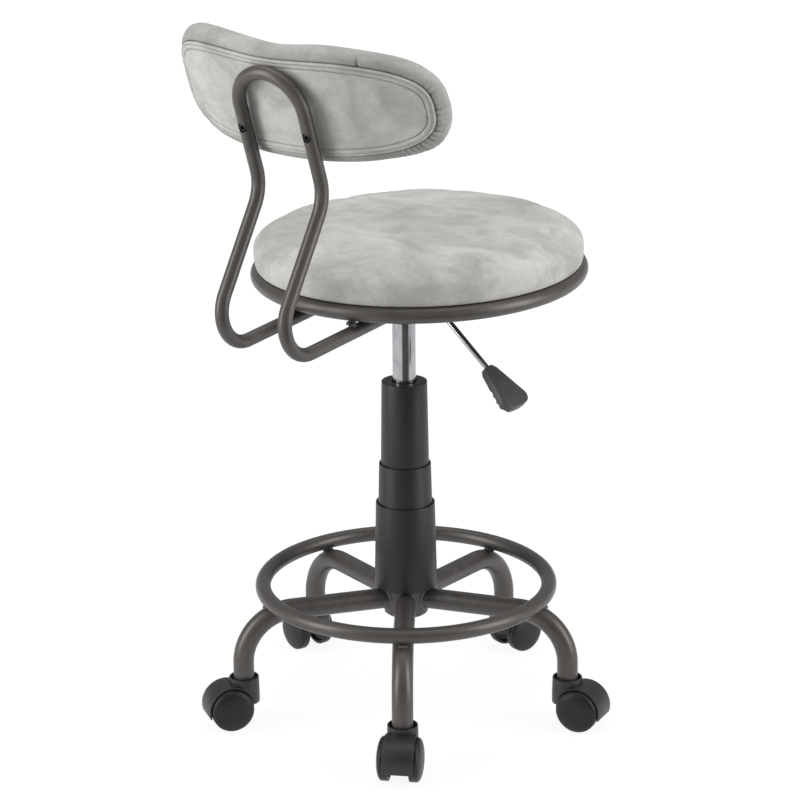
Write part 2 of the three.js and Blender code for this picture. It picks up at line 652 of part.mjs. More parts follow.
// ---------------------------------------------------------------- back tube
const hoopOverArm = Math.sqrt(SEAT_RING_R ** 2 - (BACK_SPACING / 2) ** 2) - SEAT_FORWARD;

function armAt(y) {
  return armZ - Math.tan(rad(ARM_DROOP)) * (y - hoopOverArm);
}

// Where the drooping arm would meet the forward-leaning upright.
function footCorner() {
  const lean = Math.tan(rad(FORWARD_LEAN));
  const droop = Math.tan(rad(ARM_DROOP));
  const z = armAt(KNEE_Y + lean * KNEE_Z) / (1 - droop * lean);
  return [KNEE_Y + lean * (KNEE_Z - z), z];
}

function uprightAt(z) {
  return KNEE_Y + Math.tan(rad(REAR_LEAN)) * (z - KNEE_Z);
}

function backRoute() {
  const side = (x) => {
    const [footY, footZ] = footCorner();
    const front = BAR_OFFSET + BAR_WIDTH / 2 + ARM_GAP;
    const places = [[front, armAt(front)], [footY, footZ], [KNEE_Y, KNEE_Z]];
    places.push([uprightAt(BOW_TOP), BOW_TOP]);
    return places.map(([y, z]) => new THREE.Vector3(x, y, z));
  };
  const corners = [...side(-BACK_SPACING / 2), ...side(BACK_SPACING / 2).reverse()];
  const bends = [FOOT_BEND, KNEE_BEND, BACK_SPACING / 2];
  return new BentRoute(corners, [...bends, ...bends.slice().reverse()]);
}

// Screw axes: through each upright, square to it, towards the pad.
function alongScrew(geometry, x) {
  const along = PAD_HEIGHT_ON_TUBE - BACK_SCREW_DROP;
  const y = KNEE_Y + along * Math.sin(rad(REAR_LEAN));
  const z = KNEE_Z + along * Math.cos(rad(REAR_LEAN));
  return geometry.rotateX(-Math.PI / 2 - rad(REAR_LEAN)).translate(x, y, z);
}

function backTubeShape() {
  const tube = tubeAlong(backRoute(), BACK_TUBE_R, BACK_TUBE_WALL);
  const welds = [];
  const holes = [];
  for (const x of [-BACK_SPACING / 2, BACK_SPACING / 2]) {
    const [wide, long] = [[x - 4, x + 4], [hoopOverArm - 5, hoopOverArm + 5]];
    welds.push(block(wide, long, [armZ + BACK_TUBE_R - 1, -SEAT_TUBE_R - FIT]));
    const access = rod(BACK_HEAD_R + 2 * FIT, 0, 2 * BACK_TUBE_R, 12);
    const shank = rod(BACK_SCREW_R + FIT, -2 * BACK_TUBE_R, 0);
    holes.push(...[access, shank].map((hole) => alongScrew(hole, x)));
  }
  return cut(joined(tube, ...welds), ...holes);
}

function backScrewShape(x) {
  const innerFlat = (BACK_TUBE_R - BACK_TUBE_WALL) * Math.cos(Math.PI / TUBE_INNER_SIDES);
  const headBottom = FIT - Math.sqrt(innerFlat ** 2 - BACK_HEAD_R ** 2);
  const tip = -(BACK_TUBE_R + PANEL_THICK + BACK_BOARD_THICK);
  const profile = [[0, tip], [BACK_SCREW_R, tip], [BACK_SCREW_R, headBottom]];
  profile.push([BACK_HEAD_R, headBottom], [BACK_HEAD_R, headBottom + BACK_HEAD_HEIGHT]);
  profile.push([0, headBottom + BACK_HEAD_HEIGHT]);
  return alongScrew(turned(profile, SMALL_SIDES), x);
}

// ---------------------------------------------------------------- back pad
// Pad space: X across, Y rearwards, Z up along the uprights, origin on the rear face,
// which bends forwards about an upright axis and rests on the bow of the back tube.
// A slab with a superellipse outline, from the depth rear to the depth front.
function bentSlab({ inset = 0, rear, front, swell = 0, rimShare = 1, cells = [14, 4, 1] }) {
  const slab = new THREE.BoxGeometry(2, 2, 1, ...cells);
  const at = slab.attributes.position;
  for (let i = 0; i < at.count; i++) {
    const [s, t, share] = [at.getX(i), at.getY(i), 0.5 - at.getZ(i)];
    const reach = Math.max(Math.abs(s), Math.abs(t));
    const size = (Math.abs(s) ** PAD_POWER + Math.abs(t) ** PAD_POWER) ** (1 / PAD_POWER);
    const round = size > 0 ? reach / size : 1;
    const grow = swell * Math.sin(Math.PI * share) - inset;
    const fullness = 1 - (1 - rimShare) * reach ** 4;
    const radius = PAD_CURVE - rear - share * (front - rear) * fullness;
    const angle = (s * round * (PAD_HALF_WIDTH + grow)) / PAD_CURVE;
    const up = t * round * (PAD_HALF_HEIGHT + grow) - PAD_END_DROP * (s * round) ** 2;
    at.setXYZ(i, -radius * Math.sin(angle), radius * Math.cos(angle) - PAD_CURVE, up);
  }
  return slab;
}

function screwHoles() {
  return [-1, 1].map((way) => {
    const hole = rod(BACK_SCREW_R + FIT, -PAD_DEPTH, PAD_DEPTH).rotateX(Math.PI / 2);
    return hole.translate((way * BACK_SPACING) / 2, 0, -BACK_SCREW_DROP);
  });
}

function addBackPad(seat) {
  const lean = rad(REAR_LEAN);
  const out = BACK_TUBE_R + FIT;
  const pad = new THREE.Group();
  pad.rotation.x = -lean;
  pad.position.y = KNEE_Y + PAD_HEIGHT_ON_TUBE * Math.sin(lean) - out * Math.cos(lean);
  pad.position.z = KNEE_Z + PAD_HEIGHT_ON_TUBE * Math.cos(lean) + out * Math.sin(lean);

  const panel = bentSlab({ rear: 0, front: PANEL_THICK });
  piece(pad, "backrest_rear_panel", cut(panel, ...screwHoles()), "suede");
  const padRear = PANEL_THICK + LAYER_GAP;
  const boardFront = padRear + BACK_BOARD_THICK;
  const board = bentSlab({ inset: PAD_RIM, rear: padRear, front: boardFront });
  piece(pad, "backrest_board", cut(board, ...screwHoles()), "wood");
  const soft = { swell: PAD_BULGE, rimShare: PAD_RIM_SHARE, cells: [16, 6, 3] };
  const body = bentSlab({ rear: padRear, front: PAD_DEPTH, ...soft });
  const pocketFront = boardFront + LAYER_GAP;
  const pocket = bentSlab({ inset: PAD_RIM - LAYER_GAP, rear: -PAD_DEPTH, front: pocketFront });
  piece(pad, "backrest_cushion", cut(body, pocket), "suede");
  seat.add(pad);
}

// ---------------------------------------------------------------- seat
function addSeat(chair) {
  const seat = new THREE.Group();
  seat.position.z = SEAT_Z;
  seat.rotation.x = -rad(SEAT_TILT);
  const ring = hoop(SEAT_RING_R, SEAT_TUBE_R, SEAT_TUBE_WALL);
  piece(seat, "seat_ring", ring.translate(0, -SEAT_FORWARD, 0), "frame");
  piece(seat, "cross_bar_front", barShape(-BAR_OFFSET), "frame");
  piece(seat, "cross_bar_rear", barShape(BAR_OFFSET), "frame");
  const boardR = SEAT_RING_R - SEAT_TUBE_R - FIT;
  const board = rod(boardR, boardBottom, boardTop, HOOP_SEGMENTS).translate(0, -SEAT_FORWARD, 0);
  piece(seat, "seat_board", board, "wood");
  piece(seat, "seat_cushion", cushionShape(), "suede");
  piece(seat, "mechanism_plate", plateShape(), "frame");
  piece(seat, "lever_pivot_pin", pivotPinShape(), "steel");
  piece(seat, "lever_rod", leverShape(), "chrome");
  piece(seat, "lever_grip", gripShape(), "plastic");
  piece(seat, "back_tube", backTubeShape(), "frame");
  piece(seat, "back_screw_right", backScrewShape(-BACK_SPACING / 2), "darkPlastic");
  piece(seat, "back_screw_left", backScrewShape(BACK_SPACING / 2), "darkPlastic");
  addBackPad(seat);
  chair.add(seat);
  piece(chair, "taper_socket", socketShape(), "frame");
}

// ---------------------------------------------------------------- the whole chair
const chair = new THREE.Group();
addBase(chair);
addPiston(chair);
addPressureTube(chair);
addSeat(chair);

// The origin is on the floor under the middle of the chair's outer box.
const middle = new THREE.Box3().setFromObject(chair, true).getCenter(new THREE.Vector3());
chair.position.set(-middle.x, -middle.y, 0);
const part = new THREE.Group();
part.add(chair);

export default part;
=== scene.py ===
"""The drafting chair's finishes, soft parts and fine shapes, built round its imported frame.

Metres, +Z up. The sitter faces -Y, and the column axis is upright. A sub-part is modelled
in a place of its own (the caster's, an arm's, the seat's or the pad's) and set down there.
"""

import math

import bmesh
import bpy
from mathutils import Matrix, Vector, kdtree, noise


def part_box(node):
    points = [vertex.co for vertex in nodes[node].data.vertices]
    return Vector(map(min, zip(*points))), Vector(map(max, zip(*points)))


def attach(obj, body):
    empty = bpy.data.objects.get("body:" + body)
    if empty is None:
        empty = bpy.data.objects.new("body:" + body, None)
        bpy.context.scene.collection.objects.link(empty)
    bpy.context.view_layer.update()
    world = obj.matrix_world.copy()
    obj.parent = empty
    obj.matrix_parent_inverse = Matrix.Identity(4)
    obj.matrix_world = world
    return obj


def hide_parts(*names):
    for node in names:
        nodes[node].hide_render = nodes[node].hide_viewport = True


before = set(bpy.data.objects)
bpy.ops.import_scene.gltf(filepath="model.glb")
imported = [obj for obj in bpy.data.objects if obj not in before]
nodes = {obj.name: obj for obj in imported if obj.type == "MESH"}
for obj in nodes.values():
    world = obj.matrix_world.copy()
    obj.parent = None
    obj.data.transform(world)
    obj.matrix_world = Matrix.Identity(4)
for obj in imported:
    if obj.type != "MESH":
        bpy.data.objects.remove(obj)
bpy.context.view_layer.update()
scene = bpy.context.scene

# ------------------------------------------------------------------ sizes
LEGS = 5
ROUND = 48  # segments round a tube or a turned part
FIT = 0.0003  # gap between parts that touch
EASE = 0.0008  # how far most edges are eased
THIN_EASE = 0.0006  # the same for thin walls
SMALL_EASE = 0.0004  # and for small parts

# Casters
WHEEL_R = 0.026
WHEEL_HALF_GAP = 0.0123
WHEEL_TREAD = 0.0075
WHEEL_DOME = 0.0075
CASTER_TRAIL = 0.020
CASTER_TURNS = (-12, 0, 3, -7, -7)  # how far each stands swivelled, in degrees
HOOD_HALF = 0.0183
HOOD_GAP = 0.0011
HOOD_WALL = 0.0018
HOOD_REAR_ANGLE = -17
HOOD_RIM_EASE = 0.0011
COLLAR_R = 0.0185
COLLAR_TOP = 0.061
COLLAR_FOOT = 0.029
CUP_DEPTH = 0.006
CUP_R = 0.0148
STEM_HOLE_R = 0.0058
STEM_HOLE_FOOT = 0.035
WHEEL_BORE_R = 0.0035
WHEEL_RIM = 0.0035
WHEEL_DISH = 0.003

# Legs and foot ring
LEG_R = 0.0125
LEG_Z = 0.1405
LEG_REACH = 0.205
LEG_BEND = 0.062
LEG_END = 0.060
HUB_WELD_R = 0.0017
FOOT_RING_R = 0.1736
FOOT_TUBE_R = 0.0093
STUD_WAIST = 0.0036
STUD_FLARE = 0.0062
STUD_DROP_R = 0.0029

# Hub and cover
HUB_R = 0.0265
HUB_BORE = (0.0242, 0.0253)  # at its foot and at its top
COVER_WALL = 0.0013
COVER_LIP = 0.0024
SLEEVE_GAP = 0.0005  # between a sleeve and the lip it slides through
LOWER_R = (0.0380, 0.0356)
MIDDLE_R = (0.0330, 0.0312)
UPPER_R = (0.0293, 0.0273)

# Gas lift
PRESSURE_R = 0.014
PRESSURE_TOP_R = 0.0132
PRESSURE_BORE = 0.0124
PRESSURE_CAP_BORE = 0.0114
PRESSURE_CAP = 0.006
PIN_HOLE_R = 0.0043
LIFT_R = 0.025
LIFT_FOOT_R = 0.0239
LIFT_WALL = 0.0018
LIFT_FLOOR = 0.003
LIFT_FOOT_HOLE = 0.0053
SOCKET_R = 0.018
SOCKET_BORE = (0.0143, 0.0135)  # at its foot and at the taper's end
TAPER_LENGTH = 0.0223

# Seat frame
SEAT_Z = 0.5452
SEAT_TILT = 1.44
SEAT_FORWARD = 0.031
SEAT_RING_R = 0.1906
SEAT_TUBE_R = 0.0094
BOARD_DROP = 0.0066
CUSHION_R = 0.1975
CUSHION_FOOT = 0.0057
CUSHION_FOOT_R = 0.178
CUSHION_BELLY = 0.026
CUSHION_CROWN = 0.0347
CUSHION_POWER = 3.0
STAPLES = 36
STAPLE_REACH = 0.172

# Lever
LEVER_PIVOT = (-0.031, -0.014, -0.0312)
LEVER_SLOPE = 41.3
LEVER_SLEEVE = (0.0028, 0.0056, 0.0092)  # its bore, its radius and half its length
LEVER_ROD_R = 0.0034
LEVER_ROD_IN_GRIP = 0.034
TONGUE_RISE = 0.0007
TONGUE_THICK = 0.0034
TONGUE_WINDOW = (-0.036, -0.036, 0.008, 0.008)
GRIP_START = 0.104
GRIP_LENGTH = 0.0598
GRIP_NECK = 0.014
GRIP_WIDTH = 0.0452
GRIP_THICK = 0.011
GRIP_DROP = 0.0008
GRIP_CORNER = 0.012
SCALLOPS = 4
SCALLOP_START = 0.030
SCALLOP_R = 0.0052
SCALLOP_PITCH = 0.0084

# Back tube
BACK_TUBE_R = 0.008
BACK_SPACING = 0.091
ARM_START_Y = 0.061
BACK_WELD = 0.0056
WELD_WAIST = 0.0034
WELD_FLARE = 0.0052
WELD_DROP_R = 0.0023
ARM_DROOP = 3.25
FOOT_BEND = 0.0407
FORWARD_LEAN = 32.6
KNEE_Y = 0.1971
KNEE_Z = 0.1439
KNEE_BEND = 0.0494
REAR_LEAN = 16.5
BOW_TOP = 0.2863

# Back pad
PAD_CURVE = 0.335
PAD_HALF_WIDTH = 0.1864
PAD_HALF_HEIGHT = 0.058
PAD_POWER = (2.8, 3.4)  # how square each end is, right and left
PAD_MIDDLE_DROP = 0.003
PAD_END_DROP = 0.0127
PAD_WAIST = 0.0028  # how far the top edge dips between the uprights
PAD_EAR = 0.0032  # how far the left end's top stands up
PAD_HEIGHT_ON_TUBE = 0.1072
PAD_BULGE = 0.0158
PAD_DEPTH = 0.045
BACK_SCREW_DROP = 0.0294
SCREW_HEAD_R = 0.005
SCREW_SHANK_R = 0.0025
SCREW_HEX_R = 0.0027


# ------------------------------------------------------------------ places
def middle(cad):
    low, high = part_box(cad)
    return (low + high) / 2


def heights(cad):
    """The lowest and the highest point of a CAD node."""
    low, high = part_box(cad)
    return low.z, high.z


def turn(degrees, axis):
    return Matrix.Rotation(math.radians(degrees), 4, axis)


def shift(x, y, z):
    return Matrix.Translation((x, y, z))


def sized(x, y, z):
    return Matrix.Diagonal((x, y, z, 1))


AS_PACKED = Matrix.Identity(4)  # for a shape that already stands where it belongs
COLUMN = shift(*middle("base_hub").xy, 0)
SEAT = COLUMN @ shift(0, 0, SEAT_Z) @ turn(-SEAT_TILT, "X")
lean = math.radians(REAR_LEAN)
pad_out = BACK_TUBE_R + FIT
PAD = (
    SEAT
    @ shift(
        0,
        KNEE_Y + PAD_HEIGHT_ON_TUBE * math.sin(lean) - pad_out * math.cos(lean),
        KNEE_Z + PAD_HEIGHT_ON_TUBE * math.cos(lean) + pad_out * math.sin(lean),
    )
    @ turn(-REAR_LEAN, "X")
)
LEG_TURNS = [turn(-90 + 360 / LEGS * k, "Z") for k in range(LEGS)]
ARMS = [COLUMN @ leg for leg in LEG_TURNS]
CASTERS = [arm @ shift(LEG_REACH, 0, 0) @ turn(t, "Z") for arm, t in zip(ARMS, CASTER_TURNS)]


# ------------------------------------------------------------------ shader groups
def group(name, inputs, outputs):
    """An empty node group with named float, vector or colour sockets."""
    tree = bpy.data.node_groups.new(name, "ShaderNodeTree")
    for label, kind, value in inputs:
        socket = tree.interface.new_socket(label, in_out="INPUT", socket_type="NodeSocket" + kind)
        socket.default_value = value
    for label, kind in outputs:
        tree.interface.new_socket(label, in_out="OUTPUT", socket_type="NodeSocket" + kind)
    return tree, tree.nodes.new("NodeGroupInput"), tree.nodes.new("NodeGroupOutput")


def node(tree, kind, links=(), **values):
    """A shader node with its plain inputs and properties set, and its links made."""
    made = tree.nodes.new("ShaderNode" + kind)
    for key, value in values.items():
        if hasattr(made, key):
            setattr(made, key, value)
        else:
            made.inputs[key.replace("_", " ")].default_value = value
    for source, target in links:
        tree.links.new(source, made.inputs[target])
    return made


def ramp(tree, source, stops):
    """A colour ramp on source, from (place, colour or grey) pairs."""
    made = node(tree, "ValToRGB", [(source, "Fac")])
    elements = made.color_ramp.elements
    while len(elements) < len(stops):
        elements.new(1)
    for element, (place, colour) in zip(elements, stops):
        element.position = place
        element.color = (*colour, 1) if isinstance(colour, tuple) else (colour, colour, colour, 1)
    return made.outputs["Color"]


def object_point(tree):
    return node(tree, "TexCoord").outputs["Object"]


def inverse(tree, size):
    """One over a size, which is a texture's scale."""
    made = node(tree, "Math", [(size, 1)], operation="DIVIDE")
    made.inputs[0].default_value = 1
    return made.outputs[0]


def product(tree, first, second):
    return node(tree, "Math", [(first, 0), (second, 1)], operation="MULTIPLY")


def make_mottle():
    """Cloudy blotches at two sizes, for a nap that has been brushed and stroked."""
    inputs = [("Size", "Float", 0.05), ("Stretch", "Vector", (1, 1, 1)), ("Detail", "Float", 5)]
    tree, given, out = group("mottle", inputs, [("Value", "Float")])
    size, stretch, detail = (given.outputs[label] for label, _, _ in inputs)
    at = node(tree, "VectorMath", [(object_point(tree), 0), (stretch, 1)], operation="MULTIPLY")
    links = [(at.outputs[0], "Vector"), (inverse(tree, size), "Scale"), (detail, "Detail")]
    clouds = node(tree, "TexNoise", links, Roughness=0.6, Distortion=0.7)
    tree.links.new(clouds.outputs["Fac"], out.inputs["Value"])
    return tree


def make_grain():
    """A fine even grain as a height, for moulded, sprayed or napped surfaces."""
    inputs = [("Size", "Float", 0.0005), ("Soften", "Float", 0.5)]
    tree, given, out = group("grain", inputs, [("Height", "Float")])
    size, soften = (given.outputs[label] for label, _, _ in inputs)
    links = [(object_point(tree), "Vector"), (inverse(tree, size), "Scale"), (soften, "Roughness")]
    fine = node(tree, "TexNoise", links, Detail=3.0)
    tree.links.new(fine.outputs["Fac"], out.inputs["Height"])
    return tree


def make_wear():
    """A mask of the edges that hands, feet and the floor rub, broken up by a patchy noise."""
    inputs = [("Amount", "Float", 0.5), ("Patch", "Float", 0.01)]
    tree, given, out = group("wear", inputs, [("Mask", "Float")])
    amount, patch = (given.outputs[label] for label, _, _ in inputs)
    edge = node(tree, "NewGeometry").outputs["Pointiness"]
    sharp = node(tree, "MapRange", [(edge, "Value")], From_Min=0.52, From_Max=0.6)
    links = [(object_point(tree), "Vector"), (inverse(tree, patch), "Scale")]
    patches = node(tree, "TexNoise", links, Detail=4.0)
    broken = node(tree, "MapRange", [(patches.outputs["Fac"], "Value")], From_Min=0.45, From_Max=0.65)
    both = product(tree, sharp.outputs[0], broken.outputs[0])
    mask = product(tree, both.outputs[0], amount)
    mask.use_clamp = True
    tree.links.new(mask.outputs[0], out.inputs["Mask"])
    return tree


MOTTLE = make_mottle()
GRAIN = make_grain()
WEAR = make_wear()


def placed(tree, shared, **values):
    """One use of a shared node group, with its own values."""
    made = tree.nodes.new("ShaderNodeGroup")
    made.node_tree = shared
    for label, value in values.items():
        made.inputs[label].default_value = value
    return made.outputs[0]


def material(name, **shader):
    """A material, with its node tree, whose Principled shader holds the given plain values."""
    made = bpy.data.materials.new(name)
    made.use_nodes = True
    principled = made.node_tree.nodes["Principled BSDF"]
    for label, value in shader.items():
        socket = principled.inputs[label.replace("_", " ")]
        socket.default_value = (*value, 1) if isinstance(value, tuple) else value
    return made, made.node_tree


def blend_colours(tree, mask, first, second, mode="MIX"):
    """The first colour where mask is 0 and the second where it is 1 or absent. A tuple is a colour."""
    mix = node(tree, "Mix", data_type="RGBA", blend_type=mode)
    if mask:
        tree.links.new(mask, mix.inputs["Factor"])
    else:
        mix.inputs["Factor"].default_value = 1
    for value, label in ((first, "A"), (second, "B")):
        socket = [s for s in mix.inputs if s.name == label and s.type == "RGBA"][0]
        if isinstance(value, tuple):
            socket.default_value = (*value, 1)
        else:
            tree.links.new(value, socket)
    return [s for s in mix.outputs if s.type == "RGBA"][0]


def spread(tree, value, low, high):
    """A 0 to 1 value mapped to the range low to high."""
    return node(tree, "MapRange", [(value, "Value")], To_Min=low, To_Max=high).outputs[0]


def shade(colour, factor):
    return tuple(c * factor for c in colour)


def tinted(tree, source, colour, dark, pale):
    """A ramp from a darker to a paler cast of one colour."""
    return ramp(tree, source, [(0.3, shade(colour, dark)), (0.7, shade(colour, pale))])


def finished(made, colour, rough, *layers):
    """Gives a material its colour, its roughness where that varies, and its stacked bumps.

    A bump layer is a height, its distance in metres and its strength.
    """
    tree = made.node_tree
    principled = tree.nodes["Principled BSDF"]
    tree.links.new(colour, principled.inputs["Base Color"])
    if rough:
        tree.links.new(rough, principled.inputs["Roughness"])
    normal = None
    for height, distance, strength in layers:
        bump = node(tree, "Bump", [(height, "Height")], Distance=distance, Strength=strength)
        if normal:
            tree.links.new(normal, bump.inputs["Normal"])
        normal = bump.outputs["Normal"]
    tree.links.new(normal, principled.inputs["Normal"])
    return made


# ------------------------------------------------------------------ finishes
def make_suede(name, light, dark, stretch, seam_fold_shaded=False):
    """Brushed suede cloth: a short nap that lies in cloudy patches, with painted shade along the seam and in
    the folds if asked.
    """
    made, tree = material(name, Sheen_Weight=0.08, Sheen_Roughness=0.4, Specular_IOR_Level=0.15)
    broad = placed(tree, MOTTLE, Size=0.075, Stretch=stretch, Detail=6.0)
    small = placed(tree, MOTTLE, Size=0.009, Stretch=stretch, Detail=5.0)
    between = tuple((a + b) / 2 for a, b in zip(light, dark))
    tone = ramp(tree, broad, [(0.36, dark), (0.5, between), (0.63, light)])
    speck = ramp(tree, small, [(0.3, (0.91, 0.91, 0.905)), (0.7, (1.06, 1.06, 1.06))])
    colour = blend_colours(tree, None, tone, speck, "MULTIPLY")
    # painted shade: the cloth is darkened along the seam and down in the folds, where less light falls
    if seam_fold_shaded:
        seam_fold_shade = node(tree, "Attribute", attribute_name="seam_fold_shade").outputs["Fac"]
        colour = blend_colours(tree, seam_fold_shade, colour, shade(dark, 0.52))
    nap = placed(tree, GRAIN, Size=0.0006, Soften=0.7)
    layers = [(broad, 0.004, 0.25), (small, 0.0006, 0.3), (nap, 0.0003, 0.35)]
    return finished(made, colour, spread(tree, small, 0.8, 0.98), *layers)


def make_coat(name, colour, worn):
    """Satin powder coat over steel tube, with a faint orange peel and rubbed edges."""
    made, tree = material(
        name, Metallic=0.36, Specular_IOR_Level=0.55, Coat_Weight=0.1, Coat_Roughness=0.3
    )
    cloud = placed(tree, MOTTLE, Size=0.03, Detail=3.0)
    rubbed = placed(tree, WEAR, Amount=0.5, Patch=0.006)
    peel = placed(tree, GRAIN, Size=0.0014, Soften=0.4)
    flake = placed(tree, GRAIN, Size=0.0004, Soften=0.6)
    tone = blend_colours(tree, rubbed, tinted(tree, cloud, colour, 0.9, 1.1), worn)
    layers = [(peel, 0.00006, 0.3), (flake, 0.00003, 0.3)]
    return finished(made, tone, spread(tree, flake, 0.34, 0.47), *layers)


def make_plastic(name, colour, rough, grain, shine=0.5):
    """Moulded plastic with a spark-eroded grain, paler where edges are scuffed."""
    made, tree = material(name, Specular_IOR_Level=shine)
    cloud = placed(tree, MOTTLE, Size=0.02, Detail=5.0)
    scuffed = placed(tree, WEAR, Amount=0.6, Patch=0.003)
    texture = placed(tree, GRAIN, Size=grain, Soften=0.6)
    pale = tuple(c * 2.2 + 0.01 for c in colour)
    tone = blend_colours(tree, scuffed, tinted(tree, cloud, colour, 0.88, 1.12), pale)
    rough = spread(tree, cloud, rough - 0.06, rough + 0.06)
    return finished(made, tone, rough, (texture, 0.00012, 0.45))


def make_chrome():
    """Bright plate over ground tube: faint marks along it, and smears that dull it."""
    made, tree = material("chrome_plate", Metallic=1.0)
    drawn = placed(tree, MOTTLE, Size=0.0012, Stretch=(1, 1, 0.02), Detail=3.0)
    smear = placed(tree, MOTTLE, Size=0.02, Stretch=(1, 1, 0.6), Detail=4.0)
    tone = ramp(tree, smear, [(0.35, (0.34, 0.347, 0.36)), (0.6, (0.42, 0.428, 0.44))])
    return finished(made, tone, spread(tree, smear, 0.13, 0.2), (drawn, 0.00002, 0.25))


def make_steel(name, colour):
    """Plain machined or zinc-plated steel with turning marks and a dull bloom."""
    made, tree = material(name, Metallic=1.0)
    rings = placed(tree, MOTTLE, Size=0.0006, Stretch=(0.05, 0.05, 1), Detail=2.0)
    bloom = placed(tree, MOTTLE, Size=0.01, Detail=5.0)
    tone = tinted(tree, bloom, colour, 0.75, 1)
    return finished(made, tone, spread(tree, bloom, 0.25, 0.5), (rings, 0.00003, 0.3))


def make_plywood():
    """Birch ply: face veneer with long figure, from darker to pale brown, and fine pores."""
    made, tree = material("birch_ply", Roughness=0.7, Specular_IOR_Level=0.3)
    figure = placed(tree, MOTTLE, Size=0.02, Stretch=(0.12, 1, 1), Detail=6.0)
    pores = placed(tree, GRAIN, Size=0.0009, Soften=0.6)
    tone = ramp(tree, figure, [(0.3, (0.36, 0.23, 0.12)), (0.5, (0.5, 0.35, 0.2)), (0.7, (0.6, 0.45, 0.28))])
    return finished(made, tone, None, (figure, 0.0004, 0.3), (pores, 0.0002, 0.4))


def make_dust_cover():
    """Black spun-bonded cloth that closes the underside: a dimpled, slightly glossy felt."""
    made, tree = material("spunbond", Roughness=0.85, Sheen_Weight=0.15)
    dimples = node(tree, "TexVoronoi", [(object_point(tree), "Vector")], Scale=700.0)
    fibres = placed(tree, GRAIN, Size=0.0007, Soften=0.8)
    tone = ramp(tree, fibres, [(0.3, (0.012, 0.012, 0.013)), (0.7, (0.035, 0.035, 0.037))])
    layers = [(dimples.outputs["Distance"], 0.0003, 0.5), (fibres, 0.0002, 0.4)]
    return finished(made, tone, None, *layers)


def make_thread():
    """Spun polyester thread: fine twist, a shade darker than the cloth."""
    made, tree = material("thread", Roughness=0.75, Sheen_Weight=0.2)
    twist = placed(tree, GRAIN, Size=0.0004, Soften=0.5)
    tone = ramp(tree, twist, [(0.3, (0.2, 0.2, 0.19)), (0.7, (0.3, 0.3, 0.285))])
    return finished(made, tone, None, (twist, 0.0001, 0.4))


SUEDE_LIGHT = (0.525, 0.517, 0.497)
SUEDE_DARK = (0.37, 0.36, 0.34)
# painted shade: the pad's border and front get a darker copy of the same suede, where less light falls than
# on the seat
BORDER_PAINTED_SHADE = 0.89
COAT = (0.072, 0.0655, 0.0605)
seat_suede = make_suede("seat_suede", SUEDE_LIGHT, SUEDE_DARK, (0.9, 1.1, 1.2))
pad_suede = make_suede("pad_suede", SUEDE_LIGHT, SUEDE_DARK, (1, 1, 1.5))
border_shaded_tones = [shade(tone, BORDER_PAINTED_SHADE) for tone in (SUEDE_LIGHT, SUEDE_DARK)]
border_suede_painted_shade = make_suede("border_suede_painted_shade", *border_shaded_tones, (1, 1, 1.5), seam_fold_shaded=True)
coat = make_coat("frame_coat", COAT, (0.15, 0.145, 0.14))
cover_plastic = make_plastic("cover_plastic", (0.0145, 0.0135, 0.0142), 0.44, 0.0006, 0.38)
caster_plastic = make_plastic("caster_plastic", (0.0142, 0.0138, 0.0145), 0.44, 0.0005)
wheel_plastic = make_plastic("wheel_plastic", (0.0118, 0.0112, 0.0117), 0.42, 0.0004, 0.32)
grip_plastic = make_plastic("grip_plastic", (0.05, 0.049, 0.051), 0.46, 0.0003)
chrome = make_chrome()
steel = make_steel("zinc_plate", (0.5, 0.5, 0.5))
black_steel = make_steel("blacked_screw", (0.05, 0.05, 0.052))
brass = make_steel("bearing_bronze", (0.5, 0.36, 0.16))
plywood = make_plywood()
spunbond = make_dust_cover()
thread = make_thread()


# ------------------------------------------------------------------ modelling helpers
def loose(name, bm):
    """A bmesh as an object that is still being worked on."""
    mesh = bpy.data.meshes.new(name)
    bm.to_mesh(mesh)
    bm.free()
    made = bpy.data.objects.new(name, mesh)
    scene.collection.objects.link(made)
    return made


def discard(made):
    mesh = made.data
    bpy.data.objects.remove(made)
    bpy.data.meshes.remove(mesh)


def taken(made):
    """The bmesh of a worked object, which goes away."""
    bm = bmesh.new()
    bm.from_mesh(made.data)
    discard(made)
    return bm


def moved(bm, place):
    bm.transform(place)
    return bm


def piece(name, bm, place, finish, body, *stands_for, sharp=35):
    """Sets a bmesh down in its place as a finished piece that rides on a body."""
    made = loose(name, moved(bm, place))
    made.data.shade_smooth()
    made.data.set_sharp_from_angle(angle=math.radians(sharp))
    made.data.materials.append(finish)
    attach(made, body)
    if stands_for:
        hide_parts(*stands_for)
    return made


def dress(cad, finish):
    """Gives a CAD node its finish."""
    nodes[cad].data.materials.clear()
    nodes[cad].data.materials.append(finish)


def closed(bm):
    """Merges doubles and turns every face outwards."""
    bmesh.ops.remove_doubles(bm, verts=bm.verts, dist=1e-6)
    bmesh.ops.recalc_face_normals(bm, faces=bm.faces)
    return bm


def verts_of(geom):
    return [g for g in geom if isinstance(g, bmesh.types.BMVert)]


def edges_of(geom):
    return [g for g in geom if isinstance(g, bmesh.types.BMEdge)]


def ramped(value, start, span):
    """0 up to the start, and from there up to 1 over the span."""
    return min(1, max(0, (value - start) / span))


def arc(x, y, radius, start, end, steps):
    """Points round (x, y), from one angle to another in degrees."""
    angles = [math.radians(start + (end - start) * i / steps) for i in range(steps + 1)]
    return [(x + radius * math.cos(a), y + radius * math.sin(a)) for a in angles]


def eased(outline, radius):
    """The outline with each inner corner rounded to the radius, or to what its sides allow."""
    steps = 3
    points = [Vector(p) for p in outline]
    made = [points[0]]
    for before, corner, after in zip(points, points[1:], points[2:]):
        near = (before - corner).length
        far = (after - corner).length
        angle = (before - corner).angle(after - corner)
        reach = min(radius / math.tan(angle / 2), near * 0.48, far * 0.48)
        first = corner + (before - corner) * (reach / near)
        last = corner + (after - corner) * (reach / far)
        for i in range(steps + 1):
            t = i / steps
            made.append((1 - t) ** 2 * first + 2 * t * (1 - t) * corner + t * t * last)
    return [tuple(p) for p in [*made, points[-1]]]


